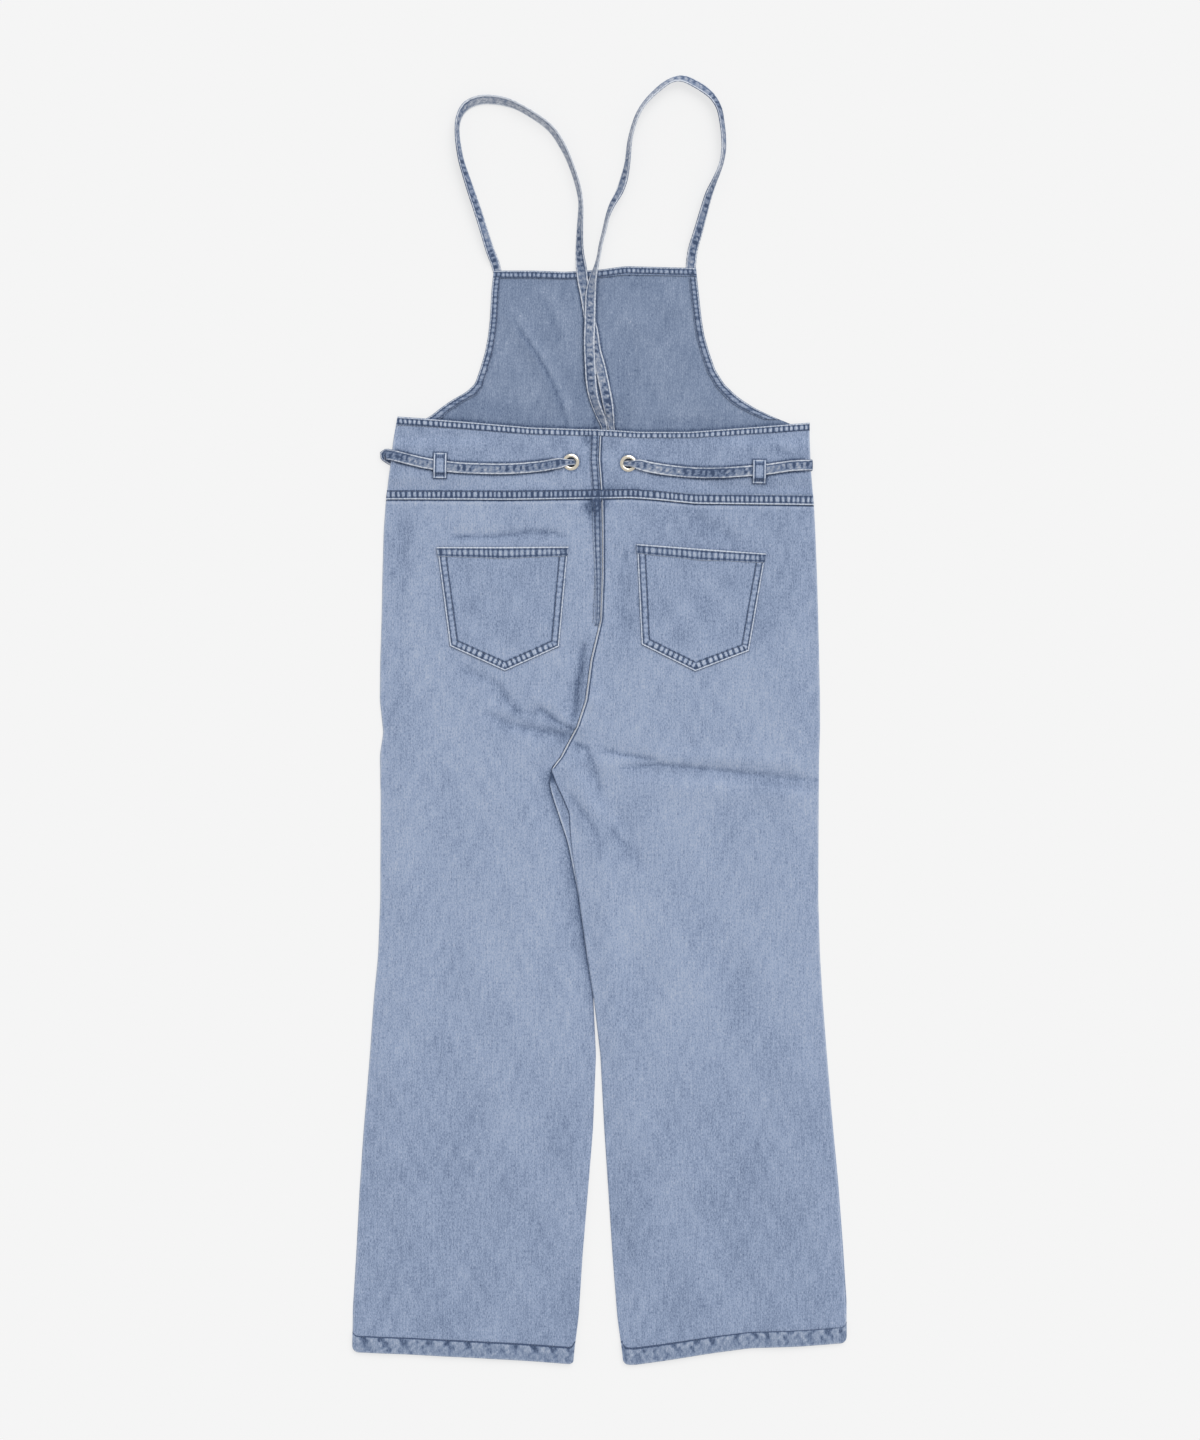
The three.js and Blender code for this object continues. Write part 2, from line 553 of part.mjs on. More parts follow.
// A wall of cloth over a grid of places, between a lower and an upper surface
function clothWall(grid, lower, upper) {
  const across = grid[0].length;
  const under = grid.flat().map(({ x, y }) => new THREE.Vector3(x, y, lower(x, y)));
  const over = grid.flat().map(({ x, y }) => new THREE.Vector3(x, y, upper(x, y)));
  const shift = under.length;
  const faces = [];
  for (let row = 0; row < grid.length - 1; row += 1) {
    for (let cell = 0; cell < across - 1; cell += 1) {
      const a = row * across + cell;
      const [b, c, d] = [a + 1, a + across + 1, a + across];
      faces.push([a, b, c], [a, c, d]);
      faces.push([a + shift, c + shift, b + shift], [a + shift, d + shift, c + shift]);
    }
  }
  const rim = [];
  for (let cell = 0; cell < across - 1; cell += 1) rim.push(cell);
  for (let row = 0; row < grid.length - 1; row += 1) rim.push(row * across + across - 1);
  for (let cell = across - 1; cell > 0; cell -= 1) rim.push((grid.length - 1) * across + cell);
  for (let row = grid.length - 1; row > 0; row -= 1) rim.push(row * across);
  rim.forEach((from, i) => {
    const to = rim[(i + 1) % rim.length];
    faces.push([from, to + shift, to], [from, from + shift, to + shift]);
  });
  return closedMesh([...under, ...over], faces);
}

// Even steps from the first value to the last
function steps(first, last, count) {
  return Array.from({ length: count + 1 }, (_, i) => lerp(first, last, i / count));
}

// Places in rows between two side edges. The first and last rows follow the top and bottom curves.
function panelGrid(edges) {
  const { levels, across, left, right, top, bottom, bottomReach = TOP_REACH } = edges;
  const [high, low] = [levels[0], levels.at(-1)];
  return levels.map((level) => across.map((share) => {
    const x = lerp(left(level), right(level), share);
    const topShare = Math.max(1 - (high - level) / TOP_REACH, 0);
    const bottomShare = Math.max(1 - (level - low) / bottomReach, 0);
    return { x, y: level + (top(x) - high) * topShare + (bottom(x) - low) * bottomShare };
  }));
}

// The places of a panel's grid from one row and cell to another, for a strip that lies on the panel
function partOf(grid, firstRow, lastRow, firstCell = 0, lastCell = grid[0].length - 1) {
  return grid.slice(firstRow, lastRow + 1).map((row) => row.slice(firstCell, lastCell + 1));
}

// A hem or felled seam on part of a panel
function trimOn(grid, panelTop) {
  return clothWall(grid, raised(panelTop, GAP), raised(panelTop, GAP + TRIM_WALL));
}

function mirrored(shares) {
  return shares.map((share) => 1 - share).reverse();
}

// Rows of a leg: the seat, the stretch under the crotch, the leg, and the turned hem
function legLevels(top) {
  return [
    ...steps(top, SEAT_SEAM_END_Y, SEAT_ROWS),
    ...steps(SEAT_SEAM_END_Y, CROTCH_Y, SEAT_ROWS).slice(1),
    ...steps(CROTCH_Y, CROTCH_END_Y, CROTCH_ROWS).slice(1),
    ...steps(CROTCH_END_Y, HEM_Y + LEG_HEM, LEG_ROWS).slice(1),
    HEM_Y,
  ];
}

function makeBackLegs() {
  const levels = legLevels(WAIST_Y);
  const edges = { top: (x) => waist(x) - GAP / 2, bottomReach: HEM_REACH };
  const left = panelGrid({
    levels, across: BACK_ACROSS, left: leftSide, right: leftInner, bottom: leftHem, ...edges,
  });
  const right = panelGrid({
    levels,
    across: mirrored(BACK_ACROSS),
    left: rightInner,
    right: rightSide,
    bottom: rightHem,
    ...edges,
  });
  const hemRow = levels.length - 2;
  const seamCell = BACK_ACROSS.length - 2;
  return {
    back_leg_left: clothWall(left, leftBack, leftBackTop),
    back_leg_right: clothWall(right, rightBack, rightBackTop),
    leg_hem_left: trimOn(partOf(left, hemRow, hemRow + 1), leftBackTop),
    leg_hem_right: trimOn(partOf(right, hemRow, hemRow + 1), rightBackTop),
    seat_seam: trimOn(partOf(left, 0, SEAT_ROWS, seamCell, seamCell + 1), leftBackTop),
  };
}

function makeFrontLegs() {
  const levels = legLevels(FRONT_WAIST_Y);
  const flat = () => 0;
  const lift = (x, y) => legsCrossLift(x, y, FRONT_LIFT);
  const edges = { top: () => FRONT_WAIST_Y - GAP / 2, bottomReach: HEM_REACH };
  const left = panelGrid({
    levels,
    across: [0, 1],
    left: (y) => leftSide(y) + FRONT_INSET,
    right: leftInner,
    bottom: leftHem,
    ...edges,
  });
  const right = panelGrid({
    levels,
    across: mirrored(FRONT_RIGHT_ACROSS),
    left: rightFrontInner,
    right: (y) => rightSide(y) - FRONT_INSET,
    bottom: rightHem,
    ...edges,
  });
  return {
    front_leg_left: clothWall(left, flat, raised(flat, WALL)),
    front_leg_right: clothWall(right, lift, raised(lift, WALL)),
  };
}

function makeBib() {
  const topHem = BIB_TOP_Y - BIB_HEM;
  const levels = [
    BIB_TOP_Y, topHem, topHem - GAP, ...BIB_ROWS, ...BIB_HIDDEN_ROWS, FRONT_WAIST_Y,
  ];
  const grid = panelGrid({
    levels,
    across: BIB_ACROSS,
    left: column(BIB, 'y', 'left'),
    right: column(BIB, 'y', 'right'),
    top: bibTop,
    bottom: () => FRONT_WAIST_Y + GAP / 2,
  });
  const bibInside = (x, y) => tailLift(x, y) + FRONT_TOP + foldHeight(BIB_CREASES, x, y);
  const sideEnd = levels.indexOf(BIB_HEM_END_Y);
  const lastCell = BIB_ACROSS.length - 2;
  return {
    bib: clothWall(grid, tailLift, bibInside),
    bib_top_hem: trimOn(partOf(grid, 0, 1), bibInside),
    bib_side_hem_left: trimOn(partOf(grid, 2, sideEnd, 0, 1), bibInside),
    bib_side_hem_right: trimOn(partOf(grid, 2, sideEnd, lastCell, lastCell + 1), bibInside),
  };
}

// A three.js shape as a solid for a boolean cut
function solidOf(geometry) {
  const bare = geometry.clone();
  bare.deleteAttribute('normal');
  bare.deleteAttribute('uv');
  const merged = mergeVertices(bare, MERGE_DISTANCE);
  return new wasm.Manifold(new wasm.Mesh({
    numProp: 3,
    vertProperties: Float32Array.from(merged.attributes.position.array),
    triVerts: Uint32Array.from(merged.index.array),
  }));
}

function geometryOf(solid) {
  const mesh = solid.getMesh();
  const geometry = new THREE.BufferGeometry();
  geometry.setAttribute('position', new THREE.BufferAttribute(mesh.vertProperties, 3));
  geometry.setIndex(new THREE.BufferAttribute(mesh.triVerts, 1));
  geometry.computeVertexNormals();
  return geometry;
}

function withEyeletHole(geometry, eyelet) {
  const drill = new THREE.CylinderGeometry(EYELET_HOLE, EYELET_HOLE, 4 * EYELET_BASE, EYELET_SIDES);
  drill.rotateX(Math.PI / 2).translate(eyelet.x, eyelet.y, 0);
  return geometryOf(solidOf(geometry).subtract(solidOf(drill)));
}

function makeBand() {
  const topHem = BAND_TOP_Y - BAND_HEM;
  const waistTop = WAIST_Y + WAIST_STRIP;
  const levels = [
    BAND_TOP_Y, topHem, topHem - GAP, ...BAND_ROWS, waistTop + GAP, waistTop, WAIST_Y,
  ];
  const edges = { top: bandTop, bottom: (x) => waist(x) + GAP / 2 };
  const left = panelGrid({ levels, across: BACK_ACROSS, left: leftSide, right: leftInner, ...edges });
  const right = panelGrid({
    levels, across: mirrored(BACK_ACROSS), left: rightInner, right: rightSide, ...edges,
  });
  const waistRow = levels.length - 2;
  const seamCell = BACK_ACROSS.length - 2;
  return {
    back_band_left: withEyeletHole(clothWall(left, leftBack, leftBackTop), EYELET_LEFT),
    back_band_right: withEyeletHole(clothWall(right, rightBack, rightBackTop), EYELET_RIGHT),
    band_top_hem_left: trimOn(partOf(left, 0, 1), leftBackTop),
    band_top_hem_right: trimOn(partOf(right, 0, 1), rightBackTop),
    waist_seam_left: trimOn(partOf(left, waistRow, waistRow + 1), leftBackTop),
    waist_seam_right: trimOn(partOf(right, waistRow, waistRow + 1), rightBackTop),
    band_centre_seam: trimOn(partOf(left, 2, waistRow - 1, seamCell, seamCell + 1), leftBackTop),
  };
}

// A pocket as rows from its mouth down, with its point in the middle column
function pocketGrid(shape, toShare, count) {
  return steps(0, toShare, count).map((down) => steps(0, 1, POCKET_CELLS).map((across) => {
    const top = between(shape.topLeft, shape.topRight, across);
    const corner = across < 0.5 ? shape.lowLeft : shape.lowRight;
    const low = between(corner, shape.point, 1 - Math.abs(across - 0.5) * 2);
    return between(top, low, down);
  }));
}

function makePockets() {
  const sides = [['left', POCKET_LEFT, leftBackTop], ['right', POCKET_RIGHT, rightBackTop]];
  return Object.fromEntries(sides.flatMap(([side, shape, top]) => {
    const hemShare = POCKET_HEM / (shape.topLeft.y - shape.lowLeft.y);
    const pocketTop = raised(top, GAP + WALL);
    const pocket = clothWall(pocketGrid(shape, 1, POCKET_CELLS), raised(top, GAP), pocketTop);
    const hem = trimOn(pocketGrid(shape, hemShare, 2), pocketTop);
    return [[`pocket_${side}`, pocket], [`pocket_hem_${side}`, hem]];
  }));
}

function makeEyelets() {
  const section = [...EYELET_SECTION, EYELET_SECTION[0]].reverse();
  const outline = section.map(({ r, z }) => new THREE.Vector2(r, z));
  const ring = ({ x, y }) => {
    const geometry = new THREE.LatheGeometry(outline, EYELET_SIDES);
    return geometry.rotateX(Math.PI / 2).translate(x, y, EYELET_MIDDLE);
  };
  return { eyelet_left: ring(EYELET_LEFT), eyelet_right: ring(EYELET_RIGHT) };
}

// Height of the band's top under a tie: the highest place across the tie's width
function underTie(top, x, y) {
  const away = [-STRAP_WIDTH / 2, 0, STRAP_WIDTH / 2];
  return Math.max(...away.flatMap((dy) => [-TIE_SPREAD, TIE_SPREAD].map((dx) => top(x + dx, y + dy))));
}

// The belt loop lies on the band at its two ends and arches over the tie
function beltLoop(shape, top) {
  const upper = [...LOOP_FOOT_SHARES, LOOP_ARCH_FLAT * 2 / shape.length, 0];
  const shares = [...upper, ...upper.slice(0, -1).reverse().map((share) => -share)];
  const grid = shares.map((share) => steps(-0.5, 0.5, 2).map((across) => ({
    x: shape.x + across * shape.width,
    y: shape.y + share * shape.length / 2,
  })));
  const lower = (x, y) => {
    const down = (Math.abs(y - shape.y) - LOOP_ARCH_FLAT) / (LOOP_ARCH_FOOT - LOOP_ARCH_FLAT);
    const arch = 1 - smooth(down);
    return top(x, y) + GAP + (STRAP_WALL + 2 * SOFT_GAP) * arch;
  };
  return clothWall(grid, lower, raised(lower, WALL));
}

function makeBeltLoops() {
  return {
    belt_loop_left: beltLoop(LOOP_LEFT, leftBackTop),
    belt_loop_right: beltLoop(LOOP_RIGHT, rightBackTop),
  };
}

// A route point of a strap that leans by some degrees on what it rests on
function lying({ x, y, rest, lean = 0, width = STRAP_WIDTH }) {
  const angle = THREE.MathUtils.degToRad(lean);
  const half = Math.sin(angle) * width / 2 + Math.cos(angle) * STRAP_WALL / 2;
  return { x, y, z: rest + half, lean, width };
}

function strapRoute(shown, behind, eyelet, heading, tieShown, tieFold, top) {
  const through = THROUGH_EYELET.map(({ along, rise, width }) => ({
    x: eyelet.x + heading * along,
    y: eyelet.y - Math.max(along, 0) * TIE_SLOPE,
    z: EYELET_MIDDLE + rise,
    lean: 0,
    width,
  }));
  const tie = tieShown.map(({ x, y }) => lying({ x, y, rest: underTie(top, x, y) + SOFT_GAP }));
  return [
    ...shown.map(lying),
    ...behind.map((point) => lying({ ...point, rest: ON_BIB })),
    ...through,
    ...tie,
    ...tieFold.map((point) => ({ ...point, lean: 0, width: STRAP_WIDTH })),
  ];
}

// Closely spaced places along a route: a soft curve in plan, straight steps in height and lean
function routeStations(route) {
  const plan = route.map(({ x, y }) => new THREE.Vector3(x, y, 0));
  const curve = new THREE.CatmullRomCurve3(plan, false, 'centripetal');
  const stations = [];
  for (let i = 0; i < route.length - 1; i += 1) {
    const [from, to] = [route[i], route[i + 1]];
    const count = Math.max(Math.ceil(Math.hypot(to.x - from.x, to.y - from.y) / STRAP_STEP), 1);
    for (let part = 0; part < count; part += 1) {
      const share = part / count;
      const { x, y } = curve.getPoint((i + share) / (route.length - 1));
      stations.push({
        place: new THREE.Vector3(x, y, lerp(from.z, to.z, share)),
        lean: THREE.MathUtils.degToRad(lerp(from.lean, to.lean, share)),
        width: lerp(from.width, to.width, share),
      });
    }
  }
  const end = route.at(-1);
  stations.push({ place: new THREE.Vector3(end.x, end.y, end.z), lean: 0, width: end.width });
  return stations;
}

// A flat strap along a route, six-sided across, which leans about its own line
function ribbon(route) {
  const stations = routeStations(route);
  const half = STRAP_WALL / 2;
  const points = [];
  const faces = [];
  let side = null;
  stations.forEach(({ place, lean, width }, i) => {
    const before = stations[Math.max(i - 1, 0)].place;
    const after = stations[Math.min(i + 1, stations.length - 1)].place;
    const along = after.clone().sub(before).normalize();
    const level = new THREE.Vector3(along.y, -along.x, 0);
    const steep = level.length() < STEEP;
    const next = steep ? side.clone().projectOnPlane(along) : level;
    next.normalize();
    if (side && next.dot(side) < 0) next.negate();
    side = next;
    const across = next.clone().applyAxisAngle(along, lean);
    const up = new THREE.Vector3().crossVectors(along, across);
    const wide = width / 2;
    const corners = [
      [-wide, 0], [-wide + STRAP_CORNER, half], [wide - STRAP_CORNER, half],
      [wide, 0], [wide - STRAP_CORNER, -half], [-wide + STRAP_CORNER, -half],
    ];
    for (const [s, n] of corners) {
      points.push(place.clone().addScaledVector(across, s).addScaledVector(up, n));
    }
  });
  const last = (stations.length - 1) * STRAP_SIDES;
  for (let start = 0; start < last; start += STRAP_SIDES) {
    for (let k = 0; k < STRAP_SIDES; k += 1) {
      const [a, b] = [start + k, start + (k + 1) % STRAP_SIDES];
      faces.push([a, b, b + STRAP_SIDES], [a, b + STRAP_SIDES, a + STRAP_SIDES]);
    }
  }
  for (let k = 1; k < STRAP_SIDES - 1; k += 1) {
    faces.push([0, k + 1, k], [last, last + k, last + k + 1]);
  }
  return closedMesh(points, faces);
}

function makeStraps() {
  const left = strapRoute(
    LEFT_STRAP_SHOWN, LEFT_STRAP_BEHIND, EYELET_RIGHT, 1, TIE_RIGHT_SHOWN, TIE_RIGHT_FOLD, rightBackTop,
  );
  const right = strapRoute(
    RIGHT_STRAP_SHOWN, RIGHT_STRAP_BEHIND, EYELET_LEFT, -1, TIE_LEFT_SHOWN, TIE_LEFT_FOLD, leftBackTop,
  );
  return { strap_left: ribbon(left), strap_right: ribbon(right) };
}

function denim(name) {
  const inside = name === 'bib' || name.startsWith('front');
  const seam = name.includes('hem') || name.includes('seam') || name.includes('strap');
  const color = inside ? DENIM_INSIDE : seam ? DENIM_SEAM : DENIM;
  return new THREE.MeshStandardMaterial({ color, roughness: 0.92, metalness: 0 });
}

function metal() {
  return new THREE.MeshStandardMaterial({ color: PALE_METAL, roughness: 0.25, metalness: 1 });
}

const pieces = {
  ...makeFrontLegs(),
  ...makeBackLegs(),
  ...makeBib(),
  ...makeBand(),
  ...makePockets(),
  ...makeBeltLoops(),
  ...makeEyelets(),
  ...makeStraps(),
};

const dungarees = new THREE.Group();
for (const [name, geometry] of Object.entries(pieces)) {
  const mesh = new THREE.Mesh(geometry, name.startsWith('eyelet') ? metal() : denim(name));
  mesh.name = name;
  dungarees.add(mesh);
}

export default dungarees;
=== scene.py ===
import math

import bpy
import numpy as np
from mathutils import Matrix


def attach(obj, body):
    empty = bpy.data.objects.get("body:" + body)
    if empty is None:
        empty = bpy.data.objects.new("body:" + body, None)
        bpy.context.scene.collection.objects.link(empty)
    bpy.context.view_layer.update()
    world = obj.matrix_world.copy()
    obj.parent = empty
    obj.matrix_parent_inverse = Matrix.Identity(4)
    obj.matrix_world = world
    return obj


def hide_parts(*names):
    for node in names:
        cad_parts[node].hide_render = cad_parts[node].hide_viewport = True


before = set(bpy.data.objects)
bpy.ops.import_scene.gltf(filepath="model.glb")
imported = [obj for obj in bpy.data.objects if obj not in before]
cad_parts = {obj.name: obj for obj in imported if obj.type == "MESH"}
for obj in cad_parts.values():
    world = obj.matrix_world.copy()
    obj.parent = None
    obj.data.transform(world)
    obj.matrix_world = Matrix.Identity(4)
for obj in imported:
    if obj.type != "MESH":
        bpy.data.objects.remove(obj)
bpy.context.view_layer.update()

MM = 0.001

# Cloth and the room between pieces
WALL = 1.2
TRIM_WALL = 1.0
GAP = 0.3
SOFT_GAP = 0.5
FLOOR_CLEAR = 0.02
FRONT_TOP = WALL
BACK_BASE = FRONT_TOP + GAP

# Seams, hems and trims
WAIST_STRIP = 11
BAND_HEM = 9
BIB_HEM = 8.8
LEG_HEM = 20
POCKET_HEM = 11.5
SEAT_SEAM_END_Y = 108
SEAT_SEAM_NARROW = 0.5
BIB_HEM_END_Y = 345
BIB_HEM_SPREAD = 1.9
SEAM_STRIP = 10.5
HEM_CORNER = 7

# Height of the back over the front
PUFF = 2.2
PUFF_REACH = 32
PUFF_MARGIN = 6
LEGS_CROSS_LIFT = 2 * WALL + GAP + SOFT_GAP
FRONT_LIFT = {"flat": 10, "ramp": 18, "up": 26, "down": 40}
BACK_LIFT = {"flat": 15, "ramp": 34, "up": 36, "down": 60}
CROTCH_Y = -58
LIFT_END_Y = -352
HEM_FLAT_REACH = 90
HEM_FLAT_SHARE = 0.3

# Room behind the band for the turned-under tie ends and the crossing straps
TAIL_ROOM = {"from_x": 112, "ramp": 44, "low_y": 264, "low_ramp": 16, "high_y": 326, "high_ramp": 14}
STRAP_ROOM = {"x": 9, "half": 13, "ramp": 22, "from_y": 302, "ramp_y": 20, "height": 2.4}

# How far a panel's rows follow its slanted top, and its slanted hem
TOP_REACH = 40
HEM_REACH = 300

# Straps, which are flat tubes of denim
STRAP_WIDTH = 12.8
STRAP_WALL = 1.8
ON_BIB = FRONT_TOP + GAP
ON_HEM = ON_BIB + TRIM_WALL + GAP
ON_STRAP = ON_BIB + STRAP_WALL + SOFT_GAP
TAIL_LIFT = STRAP_WALL + SOFT_GAP
TIE_SLOPE = 0.1
TIE_SPREAD = 4

# Eyelets in the back band
EYELET_LEFT = (-32.7, 295.5)
EYELET_RIGHT = (33.2, 294)
EYELET_BASE = 5.0
EYELET_MIDDLE = EYELET_BASE + WALL / 2
EYELET_HOLE = 7.2
PLATEAU = 15
PLATEAU_RAMP = 22

# Belt loops
LOOP_LEFT = {"x": -183, "y": 291.5, "width": 15.5, "length": 30}
LOOP_RIGHT = {"x": 183.5, "y": 284.5, "width": 15.5, "length": 28}
LOOP_ARCH_FLAT = 7.6
LOOP_ARCH_FOOT = 12
LOOP_TILT = 0.02
LOOP_SEED = 91

# Levels across the garment
HEM_Y = -742
WAIST_Y = 252
BAND_TOP_Y = 341
BIB_TOP_Y = 517
FRONT_WAIST_Y = 250
FRONT_INSET = 1

# The photograph's frame on the surface that the garment lies on
FRAME_HEIGHT = 1656
FRAME_CENTRE = (0.6, -0.6)
LENS = 85
SENSOR = 36
CLIP_END = 50000

# Light: the key light, the strength of the studio round it, and the floor
KEY_TURN = (-40, 22, 0)
KEY_STRENGTH = 1.72
KEY_ANGLE = 45
STUDIO_STRENGTH = 0.66
FLOOR_BASE = 0.25
FLOOR_GLOW = 0.651
FLOOR_HALF = 12000
FLOOR_Z = -0.3

# Widths that shares across the pieces are counted on
HALF_WIDTH = 255
BIB_GRID_WIDTH = 300
BIB_TOP_WIDTH = 250
POCKET_WIDE = 150
POCKET_TALL = 146

# How far apart the rows and columns of a piece's surface are, and the closer ones near its edges
STEP = {
    "back_leg": 2.3, "low_leg": 5.5, "front_leg": 9, "bib": 2.1, "band": 1.5, "pocket": 1.4, "loop": 0.7,
    "leg_hem_depth": 0.9, "leg_hem": 1.3, "seat_seam": 1.3, "bib_hem": 1.2, "band_hem": 1.1,
    "centre_seam": 1.2, "pocket_hem": 1.2,
}
HEM_STEP = 0.75
LOW_LEG_Y = -150
RIM = (0.4, 1.1, 2.1, 3.1)
FINE_RIM = (0.4, 0.9, 1.5)
SEAM_RIM = (0.4, 0.9, 1.4, 1.9, 2.4, 2.9, 3.5, 4.5)
SEAT_RIM = (0.5,)
POCKET_RIM = np.arange(0.5, 12, 0.75)
SHARP_ANGLE = 60

# Thickness of the shells in the open, and how far their edges are rounded
BACK_SHELL = 1.1
BIB_SHELL = 0.9
TRIM_SHELL = WALL - 0.1
FRONT_UPPER = WALL - 0.05
LEG_ROUND = 1.8
BAND_ROUND = 1.2
EDGE_ROUND = 0.8

# Looks of the stitched hems and seams, from their outer edge in: width, depths of the sunk rows, length of
# the puckers, strength of their relief (high) and marks, of the painted shadow along the outer edge (outline)
# and of the worn edge, how far the inner edge sinks (feather) and how pale it is, and the tone of the whole
POCKET_BORDER = 10.8
LEG_HEM_ROW = 19.1
PLAIN_HEM = {
    "period": 5.6, "high": 0.3, "marks": 1.0, "outline": 1.0, "worn_edge": 1.35,
    "feather": 0, "inner_pale": 0, "tone": 0,
}
HEMS = {
    "leg_hem": {"width": LEG_HEM, "rows": (LEG_HEM_ROW,), "feather": 0.6},
    "seat_seam": {
        "width": SEAM_STRIP, "rows": (2.6, 8.0), "period": 6.5, "inner_pale": 0.3, "marks": 0.3,
        "outline": 0.9, "worn_edge": 0,
    },
    "bib_top_hem": {
        "width": BIB_HEM, "rows": (2.4, 7.7), "period": 5.4, "high": 0.2, "marks": 0.75, "tone": -0.12,
    },
    "bib_side_hem": {"width": BIB_HEM, "rows": (2.4, 7.5), "high": 0.2, "marks": 0.45, "tone": -0.1},
    "band_top_hem": {"width": BAND_HEM, "rows": (2.3, 8.0), "feather": 1.0, "outline": 0.8},
    "waist_seam": {"width": WAIST_STRIP, "rows": (2.7, 9.8), "period": 5.8, "high": 0.36, "outline": 0},
    "band_centre_seam": {
        "width": SEAM_STRIP, "rows": (2.4, 8.6), "period": 6.0, "inner_pale": 0.5, "marks": 0.4,
        "worn_edge": 0,
    },
    "pocket_hem": {
        "width": POCKET_HEM, "rows": (2.9, 9.6), "period": 6.0, "feather": 1.0, "high": 0.25, "marks": 0.7,
        "inner_pale": 0.5,
    },
    "pocket": {"width": POCKET_BORDER, "rows": (2.8, 9.4), "period": 6.2},
}
WAIST_SEAM_TONE = {"left": -0.24, "right": -0.09}
ROW_SINK = 0.35
SEEDS = {
    "leg_hem_left": 41, "leg_hem_right": 42, "seat_seam": 43, "bib_top_hem": 44, "bib_side_hem_left": 45,
    "bib_side_hem_right": 46, "band_centre_seam": 47, "band_top_hem_left": 51, "band_top_hem_right": 61,
    "waist_seam_left": 52, "waist_seam_right": 62, "pocket_left": 70, "pocket_right": 80,
    "pocket_hem_left": 74, "pocket_hem_right": 84, "strap_left": 101, "strap_right": 102,
}

# Corners with close stitching: on the bib, and how far in on the pockets
BIB_CORNERS = ((-116.5, 509), (106, 512))
CORNER_INSET = 6

# Rows of stitches: depths from each outer edge, how much lower the inner ones of two hems lie, and the thread
STITCHES = {
    "band_top_hem": (1.7, 8.2), "waist_seam": (1.8, 9.4), "band_centre_seam": (1.8, 8.4),
    "seat_seam": (1.8, 8.0), "bib_hem": (1.4, 7.4), "pocket": (2.2, 9.0), "pocket_hem": (2.2, 9.6),
}
BAND_HEM_SUNK = 0.6
MOUTH_SUNK = 0.5
THREAD_RADIUS = 0.3
STITCH = 2.7
STITCH_GAP = 0.7
STITCH_SIDES = 4
STITCH_LIFT = GAP + TRIM_WALL - THREAD_RADIUS
LEG_HEM_LIFT = 0.75
POCKET_LIFT = GAP + WALL - 0.15
STRAP_STITCH_RISE = 0.8

# First, last and count of the points that rows of stitches are laid through
PANEL_ROW = (0.006, 0.994, 400)
MOUTH_ROW = (0.015, 0.985, 150)
CENTRE_ROW = (BAND_TOP_Y - 20, WAIST_Y + WAIST_STRIP + 1, 60)
SEAT_ROW = (WAIST_Y - 2, SEAT_SEAM_END_Y, 120)
BIB_TOP_ROW = (-119, 109, 200)
BIB_SIDE_ROW = (BIB_TOP_Y - 10, BIB_HEM_END_Y + 1, 240)
POCKET_ROW_STEP = 1.5

# Section of a strap as shares of its half width, its skin, where its stitch row lies, and its tone
STRAP_SECTION = np.array([
    -1, -0.965, -0.9, -0.82, -0.73, -0.63, -0.52, -0.36, -0.12,
    0.12, 0.36, 0.52, 0.63, 0.73, 0.82, 0.9, 0.965, 1,
])
STRAP_SKIN = 0.35
STITCHED_AT = 0.62
STRAP_TONE_SHARE = 0.5
STRAP_TONE = -0.18
CURVE_STEP = 1.0
STRAP_STEP = 2.0
INNER_EVERY = 4
STRAP_WARP_APART = 37.0

# Linear colours of the denim, from its darkest puckers to its worn edges
DARKEST = (0.05, 0.077, 0.145)
DARK = (0.145, 0.195, 0.305)
PALE = (0.43, 0.485, 0.59)
PALEST = (0.66, 0.7, 0.77)

# For each denim: its colours, how strong its weave is, and the strength and scale of its mottling
DENIMS = {
    "denim": {
        "dark": DARK, "middle": (0.3, 0.37, 0.52), "pale": PALE, "weave": 0.85, "mottle": 0.14, "scale": 70,
    },
    "denim_inside": {
        "dark": (0.13, 0.178, 0.28), "middle": (0.208, 0.266, 0.385), "pale": (0.315, 0.375, 0.5),
        "weave": 1.0, "mottle": 0.2, "scale": 60,
    },
    "denim_seam": {
        "dark": DARK, "middle": (0.262, 0.32, 0.44), "pale": PALE, "weave": 0.8, "mottle": 0.5, "scale": 230,
    },
    "denim_strap": {
        "dark": DARK, "middle": (0.25, 0.295, 0.39), "pale": (0.42, 0.45, 0.52),
        "weave": 0.8, "mottle": 1.0, "scale": 230,
    },
}

# Noises that make up the weave: stretch along the warp, scale and share
WEAVE_NOISES = ((0.22, 1150, 0.42), (0.07, 480, 0.22), (0.6, 850, 0.36))
WEAVE_DEPTH = 0.25
TWILL_SCALE = 950
TWILL_DISTORTION = 1.2

# Thread and metal
THREAD_COLOUR = (0.14, 0.17, 0.24)
THREAD_ROUGHNESS = 0.7
METAL_COLOUR = (0.84, 0.77, 0.64)
METAL_ROUGHNESS = 0.22
GRAIN_SCALE = 300
GRAIN_DEPTH = 0.05

# Strength of a crease's painted shade, as a dark line and a soft shade round it, and of the painted highlight
# on its pale side
CREASE_SHADE_LINE = 0.42
CREASE_SHADE_HALO = 0.24
CREASE_HIGHLIGHT = 0.14


def rows(names, *lines):
    """A table as one array for each named column."""
    return dict(zip(names.split(), np.array(lines, float).T))


